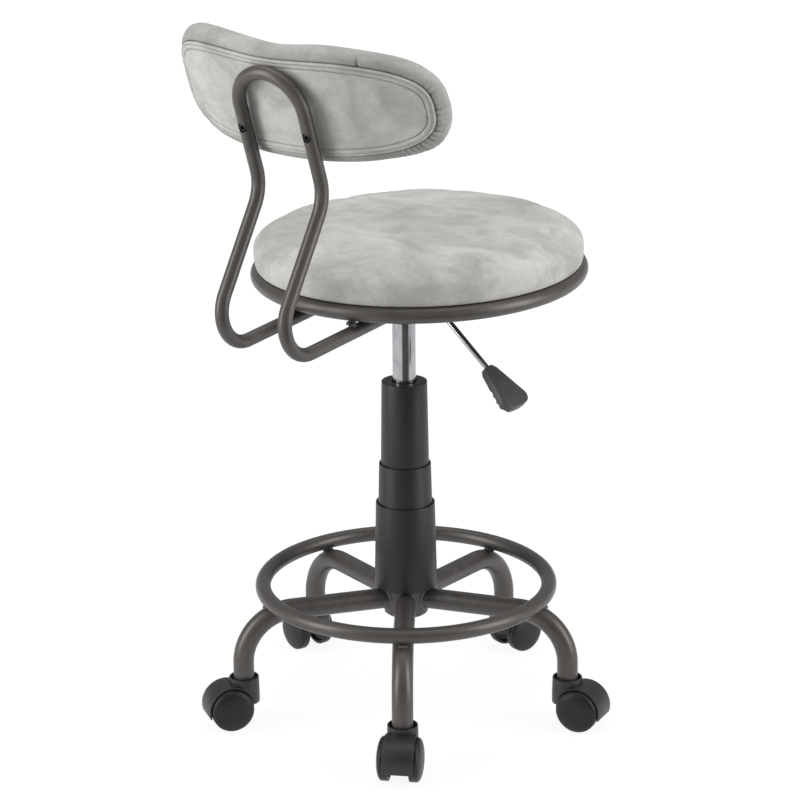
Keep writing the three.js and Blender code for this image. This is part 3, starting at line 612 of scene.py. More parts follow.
def looped(outline, radius):
    """A closed outline with every corner eased, which begins halfway along its last side."""
    seam = tuple(Vector(outline[0]).lerp(Vector(outline[-1]), 0.5))
    return eased([seam, *outline, seam], radius)


def spun(profile, steps=ROUND):
    """A body of revolution about Z from (radius, height) pairs; off the axis it ends where it began."""
    bm = bmesh.new()
    verts = [bm.verts.new((r, 0, z)) for r, z in profile]
    geom = verts + [bm.edges.new(pair) for pair in zip(verts, verts[1:])]
    full = 2 * math.pi
    bmesh.ops.spin(bm, geom=geom, cent=(0, 0, 0), axis=(0, 0, 1), angle=full, steps=steps, use_merge=True)
    return closed(bm)


def rod_profile(radius, low, high):
    return [(0, low), (radius, low), (radius, high), (0, high)]


def rod(radius, low, high, steps=ROUND):
    return spun(rod_profile(radius, low, high), steps)


def rectangle(x, y, far_x, far_y):
    return [(x, y), (far_x, y), (far_x, far_y), (x, far_y)]


def hoop(radius, tube, steps=144, sides=24):
    """A ring of round tube that lies level about the origin."""
    profile = [(radius + x, z) for x, z in arc(0, 0, tube, 0, 360, sides)]
    return spun(profile, steps)


def slab(outline, low, high):
    """An outline in X and Y with a thickness in Z."""
    bm = bmesh.new()
    face = bm.faces.new([bm.verts.new((x, y, low)) for x, y in outline])
    raised = bmesh.ops.extrude_face_region(bm, geom=[face])["geom"]
    bmesh.ops.translate(bm, verts=verts_of(raised), vec=(0, 0, high - low))
    return closed(bm)


def pushed(bm, edges, vector):
    """Extrudes open edges along a vector and gives the new ones."""
    made = bmesh.ops.extrude_edge_only(bm, edges=edges)["geom"]
    bmesh.ops.translate(bm, verts=verts_of(made), vec=vector)
    return edges_of(made)


def bent_tube(corners, bends, radius):
    """A capped round tube along straight runs, whose corners are bent to the given radii."""
    sides = 32
    degrees_a_step = 4
    corners = [Vector(c) for c in corners]
    heading = (corners[1] - corners[0]).normalized()
    bm = bmesh.new()
    start = Matrix.Translation(corners[0]) @ heading.to_track_quat("Z", "Y").to_matrix().to_4x4()
    bmesh.ops.create_circle(bm, segments=sides, radius=radius, matrix=start, cap_ends=True)
    edges = list(bm.edges)
    at = corners[0]
    for corner, after, bend in zip(corners[1:], corners[2:], bends):
        out = (after - corner).normalized()
        angle = heading.angle(out)
        reach = bend * math.tan(angle / 2)
        begin = corner - heading * reach
        edges = pushed(bm, edges, begin - at)
        axis = heading.cross(out).normalized()
        centre = begin + axis.cross(heading) * bend
        steps = max(3, round(math.degrees(angle) / degrees_a_step))
        swept = bmesh.ops.spin(bm, geom=edges, cent=centre, axis=axis, angle=angle, steps=steps)
        edges = edges_of(swept["geom_last"])
        at = corner + out * reach
        heading = out
    edges = pushed(bm, edges, corners[-1] - at)
    bmesh.ops.holes_fill(bm, edges=edges, sides=0)
    return closed(bm)


def joined(*shapes):
    """Several bmeshes as one."""
    first, *others = shapes
    for other in others:
        mesh = bpy.data.meshes.new("joining")
        other.to_mesh(mesh)
        other.free()
        first.from_mesh(mesh)
        bpy.data.meshes.remove(mesh)
    return first


def combined(operation, body, *tools):
    """The body united with, or cut by, each tool in turn."""
    for tool in tools:
        objects = [loose("cutting", bm) for bm in (body, tool)]
        cutter = objects[0].modifiers.new("cut", "BOOLEAN")
        cutter.operation = operation
        cutter.solver = "EXACT"
        cutter.object = objects[1]
        bpy.context.view_layer.update()
        body = bmesh.new()
        body.from_object(objects[0], bpy.context.evaluated_depsgraph_get())
        for made in objects:
            discard(made)
    return body


def softer(bm, edges, width, segments):
    """Rounds the given edges."""
    bmesh.ops.bevel(
        bm,
        geom=edges,
        offset=width,
        offset_type="OFFSET",
        affect="EDGES",
        segments=segments,
        profile=0.5,
        material=-1,
        clamp_overlap=True,
    )
    return bm


def bevelled(bm, width):
    """Eases every edge that isn't nearly flat."""
    flat = math.radians(30)
    bmesh.ops.dissolve_limit(bm, angle_limit=math.radians(0.5), verts=bm.verts, edges=bm.edges)
    sharp = [e for e in bm.edges if len(e.link_faces) == 2 and e.calc_face_angle() > flat]
    return softer(bm, sharp, width, 2)


def eased_copy(cad, width):
    """A CAD node's shape, merged into a solid, with its edges eased."""
    bm = bmesh.new()
    bm.from_mesh(nodes[cad].data)
    bmesh.ops.remove_doubles(bm, verts=bm.verts, dist=1e-6)
    return bevelled(bm, width)


def weld_bead(radius, thick, ripples):
    """A ring of rippled weld metal about Z, in the plane Z = 0."""
    bm = hoop(radius, thick, 96, 10)
    for v in bm.verts:
        angle = math.atan2(v.co.y, v.co.x)
        swell = 1 + 0.16 * abs(math.sin(angle * ripples / 2)) + 0.12 * noise.noise(v.co * 400)
        centre = Vector((math.cos(angle), math.sin(angle), 0)) * radius
        v.co = centre + (v.co - centre) * swell
    return bm


def blob(radius, place, seed):
    """A small uneven drop of weld metal."""
    bm = bmesh.new()
    bmesh.ops.create_icosphere(bm, subdivisions=3, radius=radius)
    for v in bm.verts:
        v.co *= 1 + 0.25 * noise.noise(v.co / radius * 0.9 + Vector((seed, seed, 0)))
    return moved(bm, place)


def inflated(made, cap, held):
    """Lets a closed skin swell under pressure: each point moves out, and by cap at most."""
    frames = 20
    start = [(v.co.copy(), v.normal.copy()) for v in made.data.vertices]
    cloth = made.modifiers.new("swell", "CLOTH")
    settings = cloth.settings
    settings.quality = 6
    settings.mass = 0.2
    settings.tension_stiffness = 12
    settings.compression_stiffness = 12
    settings.bending_stiffness = 0.6
    settings.use_pressure = True
    settings.uniform_pressure_force = 3.5
    settings.effector_weights.gravity = 0
    settings.vertex_group_mass = held
    settings.pin_stiffness = 1
    cloth.point_cache.frame_start = 1
    cloth.point_cache.frame_end = frames
    for step in range(1, frames + 1):
        scene.frame_set(step)
    posed = made.evaluated_get(bpy.context.evaluated_depsgraph_get())
    swollen = [v.co.copy() for v in posed.data.vertices]
    made.modifiers.remove(cloth)
    scene.frame_set(1)
    for v, (first, outward), last in zip(made.data.vertices, start, swollen):
        v.co = first + outward * min(cap, max(0, (last - first).dot(outward)))
    made.data.update()


# ------------------------------------------------------------------ casters
# Modelled about the swivel axis at floor level; +X trails away from the chair.
ACROSS = turn(90, "X")
AXLE = shift(CASTER_TRAIL, 0, WHEEL_R)


def hood_shape():
    """The caster's moulded body: a canopy over both wheels under a cupped collar."""
    canopy_r = WHEEL_R + HOOD_GAP + HOOD_WALL
    side = arc(CASTER_TRAIL, WHEEL_R, canopy_r, HOOD_REAR_ANGLE, 140, 40)
    side += [(-0.001, COLLAR_FOOT), (CASTER_TRAIL, WHEEL_R - 0.007)]
    canopy = slab(side, -HOOD_HALF, HOOD_HALF)
    rims = [e for e in canopy.edges if e.calc_length() < HOOD_HALF]
    canopy = softer(canopy, rims, HOOD_RIM_EASE, 3)
    floor = COLLAR_TOP - CUP_DEPTH
    outside = [(0, COLLAR_FOOT), (COLLAR_R, COLLAR_FOOT), (COLLAR_R, COLLAR_FOOT + 0.012)]
    outside += [(COLLAR_R - 0.0006, COLLAR_TOP), (CUP_R + 0.0012, COLLAR_TOP)]
    column = spun(eased([*outside, (CUP_R, floor), (0, floor)], EASE))
    pocket = (WHEEL_R + HOOD_GAP, WHEEL_HALF_GAP - FIT, 0.05, 64)
    pockets = [moved(rod(*pocket), AXLE @ turn(way, "X")) for way in (90, -90)]
    stem = rod(STEM_HOLE_R, STEM_HOLE_FOOT, COLLAR_TOP)
    body = combined("UNION", moved(canopy, ACROSS), column)
    return combined("DIFFERENCE", body, *pockets, stem)


def wheel_shape(way):
    """A closed wheel with a rounded tread, a bulging outer face and a dished inner one."""
    inner = WHEEL_HALF_GAP
    outer = inner + WHEEL_TREAD
    boss = 2 * WHEEL_BORE_R
    dish = WHEEL_R - WHEEL_RIM
    profile = [(0, outer), (WHEEL_BORE_R, outer), (WHEEL_BORE_R, inner), (boss, inner)]
    profile += [(boss + 0.0015, inner + WHEEL_DISH), (dish - 0.002, inner + WHEEL_DISH)]
    profile += [(dish, inner), (WHEEL_R, inner), (WHEEL_R, outer)]
    rim = eased(profile, 0.0007)
    face = []
    for i in range(1, 19):
        angle = math.radians(5 * i)
        radius = WHEEL_R * max(0, math.cos(angle)) ** 0.86
        face.append((radius, outer + WHEEL_DOME * math.sin(angle) ** 0.86))
    return moved(spun([*rim, *face[:-1], (0, outer + WHEEL_DOME)], 64), AXLE @ turn(-90 * way, "X"))


def add_casters():
    hood = hood_shape()
    for k, place in enumerate(CASTERS, 1):
        body = f"caster_{k}"
        piece(f"caster_body_{k}", hood.copy(), place, caster_plastic, body, f"caster_hood_{k}", sharp=28)
        for side, way in (("left", -1), ("right", 1)):
            made = f"caster_disc_{side}_{k}"
            cad = f"caster_wheel_{side}_{k}"
            piece(made, wheel_shape(way), place, wheel_plastic, f"wheel_{side}_{k}", cad)
        for cad in (f"caster_stem_{k}", f"caster_axle_{k}"):
            dress(cad, steel)
    hood.free()


# ------------------------------------------------------------------ base
def leg_shape():
    """A leg from the hub out and down to its caster, with the weld that joins it to the hub."""
    start = (math.sqrt(HUB_R**2 - LEG_R**2), 0, LEG_Z)
    corner = (LEG_REACH, 0, LEG_Z)
    tube = bent_tube([start, corner, (LEG_REACH, 0, LEG_END)], [LEG_BEND], LEG_R)
    bead = moved(weld_bead(LEG_R + FIT, HUB_WELD_R, 26), turn(90, "Y"))
    for v in bead.verts:
        v.co.x += math.sqrt(HUB_R**2 - min(abs(v.co.y), HUB_R) ** 2)
    return joined(tube, moved(bead, shift(0, 0, LEG_Z)))


def hub_shape():
    low, high = heights("base_hub")
    profile = [(HUB_BORE[0], low), (HUB_R, low), (HUB_R, high), (HUB_BORE[1], high)]
    return spun(looped(profile, EASE), 64)


def waisted(flare, waist, low, high):
    """The profile of a short post that widens to the flare at both ends."""
    return [(0, low), (flare, low), (waist, (low + high) / 2), (flare, high), (0, high)]


def foot_ring_shape():
    """The foot ring, with the weld that holds it on each leg's bend."""
    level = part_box("foot_ring")[1].z - FOOT_TUBE_R
    ring = moved(hoop(FOOT_RING_R, FOOT_TUBE_R), shift(0, 0, level))
    bend = Vector((LEG_REACH - LEG_BEND, 0, LEG_Z - LEG_BEND))
    reach = Vector((FOOT_RING_R, 0, level)) - bend
    tilt = math.degrees(math.atan2(reach.x, reach.z))
    low = LEG_BEND + LEG_R - 0.0008
    high = reach.length - FOOT_TUBE_R + 0.0012
    stud = waisted(STUD_FLARE, STUD_WAIST, low, high)
    welds = []
    for k, leg in enumerate(LEG_TURNS):
        at_leg = leg @ Matrix.Translation(bend) @ turn(tilt, "Y")
        welds.append(moved(spun(eased(stud, 0.001), 24), at_leg))
        for across in (-0.0021, 0.0023):
            drop = at_leg @ shift(0.0072, across, low + 0.0014)
            welds.append(blob(STUD_DROP_R, drop, k + across * 900))
    return joined(ring, *welds)


def add_base():
    for k, arm in enumerate(ARMS, 1):
        piece(f"leg_tube_{k}", leg_shape(), arm, coat, "base", f"leg_{k}")
    piece("hub_sleeve", hub_shape(), COLUMN, coat, "base", "base_hub")
    piece("foot_hoop", foot_ring_shape(), COLUMN, coat, "base", "foot_ring")


# ------------------------------------------------------------------ column
def tapered(radii, foot, top, z):
    """The radius at z of a sleeve that tapers from its foot to its top."""
    return radii[0] + (radii[1] - radii[0]) * (z - foot) / (top - foot)


def turned_lip(mouth, top, radii):
    """The inward lip round a sleeve's mouth."""
    low = top - COVER_LIP
    return [(mouth, top), (mouth, low), (radii[1] - COVER_WALL, low)]


def add_cover():
    """Three thin sleeves, each with a turned lip, that slide into each other."""
    lip = COVER_LIP
    foot, top = heights("cover_lower")
    ledge = heights("base_hub")[1] + FIT
    inner = [tapered(LOWER_R, foot, top, z) - COVER_WALL for z in (ledge, ledge + lip)]
    lower = [(LOWER_R[0] - COVER_WALL, foot), (LOWER_R[0], foot), (LOWER_R[1], top)]
    mouth = tapered(MIDDLE_R, *heights("cover_middle"), top) + SLEEVE_GAP
    lower += turned_lip(mouth, top, LOWER_R)
    lower += [(inner[1], ledge + lip), (HUB_BORE[1], ledge + lip)]
    lower += [(HUB_BORE[1], ledge), (inner[0], ledge)]
    add_sleeve("cover_sleeve_lower", lower, "base", "cover_lower")

    bore = LOWER_R[1] - COVER_WALL - FIT
    foot, top = heights("cover_middle")
    middle_stage = [(MIDDLE_R[0] - COVER_WALL, foot), (bore, foot), (bore, foot + lip)]
    middle_stage += [(tapered(MIDDLE_R, foot, top, foot + lip), foot + lip), (MIDDLE_R[1], top)]
    mouth = tapered(UPPER_R, *heights("cover_upper"), top) + SLEEVE_GAP
    middle_stage += turned_lip(mouth, top, MIDDLE_R)
    add_sleeve("cover_sleeve_middle", middle_stage, "cover_middle", "cover_middle")

    foot, top = heights("cover_upper")
    upper = [(UPPER_R[0] - COVER_WALL, foot), (UPPER_R[0], foot), (UPPER_R[1], top)]
    upper += turned_lip(PRESSURE_R + 3 * FIT, top, UPPER_R)
    add_sleeve("cover_sleeve_upper", upper, "cover_upper", "cover_upper")


def add_sleeve(name, profile, body, cad):
    piece(name, spun(looped(profile, THIN_EASE), 96), COLUMN, cover_plastic, body, cad)


def add_lift():
    low, high = heights("lift_pressure_tube")
    taper = heights("taper_socket")[0]
    outside = [(PRESSURE_BORE, low), (PRESSURE_R, low), (PRESSURE_R, taper), (PRESSURE_TOP_R, high)]
    cap = high - PRESSURE_CAP
    inside = [(PIN_HOLE_R, high), (PIN_HOLE_R, cap), (PRESSURE_CAP_BORE, cap), (PRESSURE_CAP_BORE, taper)]
    inside += [(PRESSURE_BORE, taper - 0.002), (PRESSURE_BORE, low)]
    add_turned("lift_cylinder", outside + inside, chrome, "seat", "lift_pressure_tube")

    low, high = heights("lift_outer_tube")
    hub_top = heights("base_hub")[1]
    floor = low + LIFT_FLOOR
    bore = LIFT_R - LIFT_WALL
    outside = [(LIFT_FOOT_HOLE, low), (LIFT_FOOT_R, low), (LIFT_R, hub_top), (LIFT_R, high)]
    inside = [(bore, high), (bore, hub_top), (LIFT_FOOT_R - LIFT_WALL, floor)]
    inside += [(LIFT_FOOT_HOLE, floor), (LIFT_FOOT_HOLE, low)]
    add_turned("lift_housing", outside + inside, cover_plastic, "base", "lift_outer_tube")
    add_socket()
    for cad in ("lift_guide_bush", "rod_guide"):
        dress(cad, cover_plastic)
    for cad in ("piston_rod", "release_pin"):
        dress(cad, steel)
    dress("thrust_bearing", brass)


def add_turned(name, profile, finish, body, cad):
    piece(name, spun(profile, 64), COLUMN, finish, body, cad)


def add_socket():
    """The taper's socket, with a window for the lever's tongue."""
    low, high = heights("taper_socket")
    foot_bore, bore = SOCKET_BORE
    profile = [(foot_bore, low), (SOCKET_R, low), (SOCKET_R, high), (bore, high)]
    profile += [(bore, low + TAPER_LENGTH), (foot_bore, low)]
    tongue = SEAT_Z + LEVER_PIVOT[2] + TONGUE_RISE
    window = slab(rectangle(*TONGUE_WINDOW), tongue - 0.006, tongue + 0.007)
    socket = combined("DIFFERENCE", spun(profile, 64), window)
    piece("column_socket", socket, COLUMN, coat, "seat", "taper_socket")


# ------------------------------------------------------------------ seat frame
LEVER = shift(*LEVER_PIVOT) @ turn(-LEVER_SLOPE, "Y")  # the rod runs along its -X


def lever_shape():
    """The bent rod's pivot sleeve, its long arm and the tongue that presses the release pin."""
    bore, outside, half = LEVER_SLEEVE
    sleeve = looped(rectangle(bore, -half, outside, half), THIN_EASE)
    pivot = moved(spun(sleeve, 32), shift(*LEVER_PIVOT) @ ACROSS)
    shaft = rod_profile(LEVER_ROD_R, 0.004, GRIP_START + LEVER_ROD_IN_GRIP)
    arm = moved(spun(eased(shaft, SMALL_EASE), 32), LEVER @ turn(-90, "Y"))
    x, y, z = LEVER_PIVOT
    low = z + TONGUE_RISE
    high = low + TONGUE_THICK
    neck = slab(rectangle(x, y - 0.006, x + 0.009, y + 0.006), low, high)
    tongue = slab(rectangle(x + 0.008, y - 0.004, 0.006, 0.005), low, high)
    return joined(pivot, arm, bevelled(neck, SMALL_EASE), bevelled(tongue, SMALL_EASE))


def grip_outline():
    """Half-rounded paddle: narrow at the rod, wide at the fingers."""
    neck = GRIP_NECK / 2
    wide = GRIP_WIDTH / 2
    tip = -GRIP_LENGTH
    corner = GRIP_CORNER
    shoulder = [(0, -neck + 0.002), (0, neck - 0.002), (-0.002, neck), (-0.006, neck + 0.003)]
    far = arc(tip + corner, wide - corner, corner, 90, 165, 8)
    far += [(tip - 0.0006, 0.004), (tip - 0.0006, -0.004)]
    near = arc(tip + corner, corner - wide, corner, 195, 270, 8)
    return [*shoulder, *far, *near, (-0.006, -neck - 0.003), (-0.002, -neck)]


def grip_shape():
    """The moulded paddle: a flat face with an eased rim, and finger scallops underneath."""
    low = -GRIP_THICK / 2 - GRIP_DROP
    paddle = slab(grip_outline(), low, low + GRIP_THICK)
    rims = [e for e in paddle.edges if e.calc_face_angle(0) > 1.2]
    paddle = softer(paddle, rims, 0.001, 3)
    scallops = []
    for i in range(SCALLOPS):
        at = shift(-SCALLOP_START - SCALLOP_PITCH * i, 0, low - 0.0032) @ ACROSS
        scallops.append(moved(rod(SCALLOP_R, -0.04, 0.04, 40), at))
    paddle = combined("DIFFERENCE", paddle, *scallops)
    return moved(paddle, shift(-GRIP_START, 0, 0))


def add_seat_frame():
    ring = moved(hoop(SEAT_RING_R, SEAT_TUBE_R), shift(0, -SEAT_FORWARD, 0))
    piece("seat_hoop", ring, SEAT, coat, "seat", "seat_ring")
    for cad in ("cross_bar_front", "cross_bar_rear"):
        name = cad.replace("cross_bar", "cross_strap")
        piece(name, eased_copy(cad, EASE), AS_PACKED, coat, "seat", cad)
    bracket = eased_copy("mechanism_plate", THIN_EASE)
    piece("mechanism_bracket", bracket, AS_PACKED, coat, "seat", "mechanism_plate")
    dress("lever_pivot_pin", steel)
    piece("lever_shaft", lever_shape(), SEAT, chrome, "lever", "lever_rod")
    piece("lever_paddle", grip_shape(), SEAT @ LEVER, grip_plastic, "lever", "lever_grip", sharp=30)


# ------------------------------------------------------------------ back tube
def back_corners():
    """The side route of the back tube from under the seat up to the bow, as (y, z)."""
    droop = math.tan(math.radians(ARM_DROOP))
    forward = math.tan(math.radians(FORWARD_LEAN))
    weld_y = math.sqrt(SEAT_RING_R**2 - (BACK_SPACING / 2) ** 2) - SEAT_FORWARD
    weld_z = -(SEAT_TUBE_R + BACK_WELD + BACK_TUBE_R)
    foot_z = (weld_z - droop * (KNEE_Y + forward * KNEE_Z - weld_y)) / (1 - droop * forward)
    foot_y = KNEE_Y + forward * (KNEE_Z - foot_z)
    top_y = KNEE_Y + math.tan(math.radians(REAR_LEAN)) * (BOW_TOP - KNEE_Z)
    start = (ARM_START_Y + 0.0015, weld_z - droop * (ARM_START_Y - weld_y))
    return [start, (foot_y, foot_z), (KNEE_Y, KNEE_Z), (top_y, BOW_TOP)], (weld_y, weld_z)


def screw_place(x):
    """Where a screw enters an upright at x, with its own Z out of the tube's rear."""
    along = PAD_HEIGHT_ON_TUBE - BACK_SCREW_DROP
    y = KNEE_Y + along * math.sin(lean)
    z = KNEE_Z + along * math.cos(lean)
    return shift(x, y, z) @ turn(-90 - REAR_LEAN, "X")


def back_tube_shape():
    """The bent tube with its two screw openings, and the welds that hold its arms to the hoop."""
    side, (weld_y, weld_z) = back_corners()
    half = BACK_SPACING / 2
    corners = [(-half, y, z) for y, z in side] + [(half, y, z) for y, z in reversed(side)]
    bends = [FOOT_BEND, KNEE_BEND, half, half, KNEE_BEND, FOOT_BEND]
    tube = bent_tube(corners, bends, BACK_TUBE_R)
    opening = (SCREW_HEAD_R + 0.0007, -0.002, 0.02, 32)
    holes = [moved(rod(*opening), screw_place(x)) for x in (-half, half)]
    tube = combined("DIFFERENCE", tube, *holes)
    welds = []
    for x in (-half, half):
        top = weld_z + BACK_TUBE_R - 0.001
        bottom = -SEAT_TUBE_R + 0.0009
        post = waisted(WELD_FLARE, WELD_WAIST, top, bottom)
        welds.append(moved(spun(eased(post, EASE), 24), shift(x, weld_y, 0)))
        for i, (out_x, out_y) in enumerate(((-0.004, 0.004), (0.0042, 0.0035), (0.0005, 0.0062))):
            drop = shift(x + out_x, weld_y + out_y, (top + bottom) / 2 + 0.0006 * (i - 1))
            welds.append(blob(WELD_DROP_R, drop, i + x * 100))
    return joined(tube, *welds)


def screw_shape():
    """A countersunk-in screw with a hexagon socket."""
    shank = -0.0076
    low = -0.001
    high = 0.0062
    chamfer = 0.0012
    outline = [(0, shank), (SCREW_SHANK_R, shank), (SCREW_SHANK_R, low), (SCREW_HEAD_R, low)]
    outline += [(SCREW_HEAD_R, high - chamfer), (SCREW_HEAD_R - chamfer, high), (0, high)]
    socket = rod(SCREW_HEX_R, high - 0.003, high + 0.001, 6)
    return combined("DIFFERENCE", spun(eased(outline, EASE), 40), socket)


def add_back_frame():
    piece("back_bow", back_tube_shape(), SEAT, coat, "seat", "back_tube", sharp=40)
    for side, x in (("right", -BACK_SPACING / 2), ("left", BACK_SPACING / 2)):
        place = SEAT @ screw_place(x)
        piece(f"pad_screw_{side}", screw_shape(), place, black_steel, "seat", f"back_screw_{side}")


# ------------------------------------------------------------------ upholstery helpers
def softened(bm):
    """Splits every face in four and eases it, so that later folds have points to bend."""
    bmesh.ops.subdivide_edges(bm, edges=bm.edges, cuts=1, use_grid_fill=True)
    bmesh.ops.smooth_vert(bm, verts=bm.verts, factor=0.5, use_axis_x=True, use_axis_y=True, use_axis_z=True)
    bm.normal_update()
    return bm


def held_points(made, below):
    """Pins the points below a height while the cloth swells."""
    pins = made.vertex_groups.new(name="held")
    pins.add([v.index for v in made.data.vertices if v.co.z < below], 1.0, "REPLACE")
    return pins.name


def bumps(point, size, height):
    """Soft uneven lumps of stuffing."""
    return height * noise.noise(point / size)


# ------------------------------------------------------------------ seat cushion
CUSHION_SLACK = 0.0025  # how far the skin starts inside its full size
CUSHION_HELD = 0.0125  # below this height the cloth is pinned, and nothing is lumpy


def cushion_profile(slack):
    """From the middle of the underside, out over the hoop and up to the crown."""
    edge = CUSHION_R - slack
    hem = 0.1925
    outline = [(0, CUSHION_FOOT), (0.08, CUSHION_FOOT), (CUSHION_FOOT_R, CUSHION_FOOT)]
    outline += [(0.1812, 0.0058), (0.184, 0.0073), (0.187, 0.0090), (0.190, 0.0099), (hem, 0.0104)]
    for i in range(1, 6):
        swing = math.radians(15 * i)
        radius = hem + (edge - hem) * math.sin(swing)
        outline.append((radius, CUSHION_BELLY - 0.0154 * math.cos(swing)))
    for i in range(31):
        angle = math.radians(3 * i)
        radius = edge * max(0, math.cos(angle)) ** (2 / CUSHION_POWER)
        height = (CUSHION_CROWN - slack) * math.sin(angle) ** (2 / CUSHION_POWER)
        outline.append((radius, CUSHION_BELLY + height))
    crown, shoulder = outline[-6]
    rise = outline[-1][1] - shoulder
    inner = [(crown * (1 - i / 14), shoulder + rise * (1 - (1 - i / 14) ** 2)) for i in range(1, 15)]
    return [*outline[:-5], *inner]


def add_seat_cushion():
    cushion = loose("cushion", spun(cushion_profile(CUSHION_SLACK), 240))
    held = held_points(cushion, CUSHION_HELD)
    inflated(cushion, CUSHION_SLACK + 0.0008, held)
    bm = softened(taken(cushion))
    for v in bm.verts:
        free = ramped(v.co.z, CUSHION_HELD, 0.02)
        lump = bumps(v.co, 0.09, 0.0019) + bumps(v.co + Vector((3, 1, 0)), 0.04, 0.0003)
        v.co += v.normal * lump * free
    place = SEAT @ shift(0, -SEAT_FORWARD, 0)
    made = piece("seat_upholstery", bm, place, seat_suede, "seat", "seat_cushion", sharp=180)
    add_seat_board()


def add_seat_board():
    """The ply board, with black cloth over its underside, and the staples that hold it."""
    shape = eased_copy("seat_board", EASE)
    board = piece("seat_ply", shape, AS_PACKED, plywood, "seat", "seat_board")
    board.data.materials.append(spunbond)
    for face in board.data.polygons:
        if face.normal.z < -0.9:
            face.material_index = 1
    wire_size = sized(0.0007, 0.009, 0.0006)
    staples = bmesh.new()
    for i in range(STAPLES):
        wire = bmesh.new()
        around = 360 / STAPLES * i + 5 * noise.noise((i * 1.7, 0, 0))
        place = turn(around, "Z") @ shift(STAPLE_REACH, 0, -0.0001) @ turn(24, "Z")
        bmesh.ops.create_cube(wire, size=1, matrix=place @ wire_size)
        staples = joined(staples, wire)
    place = SEAT @ shift(0, -SEAT_FORWARD, -BOARD_DROP)
    piece("board_staples", staples, place, steel, "seat")


# ------------------------------------------------------------------ back pad
# Pad space is flat: U across, W up the uprights, depth forwards from the rear seam's
# plane. A round skin is stretched to the pad's outline there, and bent to its curve last.
OFFSET_ZONE = 0.014  # inside this distance of the seam, rings keep their distance from it


def pad_outline(count):
    """Evenly spaced (point, outward normal) pairs round the rear seam."""
    raw = []
    for i in range(4001):
        angle = 2 * math.pi * i / 4000
        c, s = math.cos(angle), math.sin(angle)
        power = PAD_POWER[c > 0]
        u = math.copysign(PAD_HALF_WIDTH * abs(c) ** (2 / power), c)
        w = math.copysign(PAD_HALF_HEIGHT * abs(s) ** (2 / power), s)
        raw.append(Vector((u, w)))
    lengths = [0.0]
    for a, b in zip(raw, raw[1:]):
        lengths.append(lengths[-1] + (b - a).length)
    made = []
    at = 0
    for k in range(count):
        goal = lengths[-1] * k / count
        while lengths[at + 1] < goal:
            at += 1
        share = (goal - lengths[at]) / (lengths[at + 1] - lengths[at])
        point = raw[at].lerp(raw[at + 1], share)
        power = PAD_POWER[point.x > 0]
        steep_u = abs(point.x / PAD_HALF_WIDTH) ** (power - 1) / PAD_HALF_WIDTH
        steep_w = abs(point.y / PAD_HALF_HEIGHT) ** (power - 1) / PAD_HALF_HEIGHT
        normal = Vector((math.copysign(steep_u, point.x), math.copysign(steep_w, point.y)))
        made.append((point, normal.normalized()))
    return made, lengths[-1]


def stretched(bm, steps):
    """Turns a round skin about Z, whose seam has radius PAD_HALF_HEIGHT, into the pad's outline."""
    outline, _ = pad_outline(steps)
    zone = PAD_HALF_HEIGHT - OFFSET_ZONE
    for v in bm.verts:
        radius = math.hypot(v.co.x, v.co.y)
        point, normal = outline[round(math.atan2(v.co.y, v.co.x) / (2 * math.pi) * steps) % steps]
        if radius >= zone:
            flat = point + normal * (radius - PAD_HALF_HEIGHT)
        else:
            flat = (point - normal * OFFSET_ZONE) * (radius / zone)
        v.co = (flat.x, flat.y, v.co.z)
    return bm


def bent(point):
    """A point of flat pad space on the pad's curve, in the pad's own place."""
    u, w, depth = point
    radius = PAD_CURVE - depth
    angle = u / PAD_CURVE
    across = min(1, abs(u) / PAD_HALF_WIDTH)
    drop = PAD_MIDDLE_DROP + (PAD_END_DROP - PAD_MIDDLE_DROP) * across**2
    up = max(0, w / PAD_HALF_HEIGHT)
    ear = PAD_EAR * max(0, u / PAD_HALF_WIDTH) ** 2
    drop += up * (PAD_WAIST * math.exp(-((across / 0.3) ** 2)) - ear)
    return Vector((radius * math.sin(angle), radius * math.cos(angle) - PAD_CURVE, w - drop))


def curved(bm):
    for v in bm.verts:
        v.co = bent(v.co)
    bmesh.ops.recalc_face_normals(bm, faces=bm.faces)
    return bm


PAD_STEPS = 360
PAD_SLACK = 0.003  # how far the skin starts inside its full size
PAD_HELD = 0.0056  # the cloth behind this depth is pinned
GATHER_PITCH = 0.0060
PLEAT_U = -0.112
PLEAT_WIDTH = 0.0009
PLEAT_LENGTH = 0.006
PLEAT_SINK = 0.0024
SEAM_DEPTH = 0.002
END_FULLNESS = 0.0036
END_DROOP = 1.3  # the right end's slack hangs to its lower corner
TOP_THINNING = 0.0026


def pad_profile():
    """From the middle of the rear, round the bulging border and over the crowned front."""
    seam = PAD_HALF_HEIGHT
    rear = 0.0054
    roll = 0.0022
    belly = 0.017
    bulge = PAD_BULGE - PAD_SLACK
    profile = [(0, rear), (0.03, rear), (seam - 0.004, rear), (seam - 0.0002, rear)]
    profile += [(seam + 0.0005, 0.0042), (seam + 0.0014, 0.0030), (seam + 0.0032, roll + 0.0002)]
    for i in range(3, 9):
        angle = math.radians(10 * i)
        out = bulge * math.sin(angle) ** 0.9
        profile.append((seam + out, belly - (belly - roll) * math.cos(angle) ** 0.9))
    front = PAD_DEPTH - PAD_SLACK - belly
    edge = seam + bulge
    for i in range(28):
        angle = math.radians(90 * i / 30)
        profile.append((edge * math.cos(angle) ** 0.84, belly + front * math.sin(angle) ** 0.84))
    last = profile[-1]
    profile += [(last[0] * (1 - i / 8), last[1] + (belly + front - last[1]) * (i / 8)) for i in range(1, 9)]
    return profile


def seam_nearness(depth):
    """1 at the seam, and fading with the depth in front of it."""
    return math.exp(-max(0, depth - SEAM_DEPTH) / 0.012)


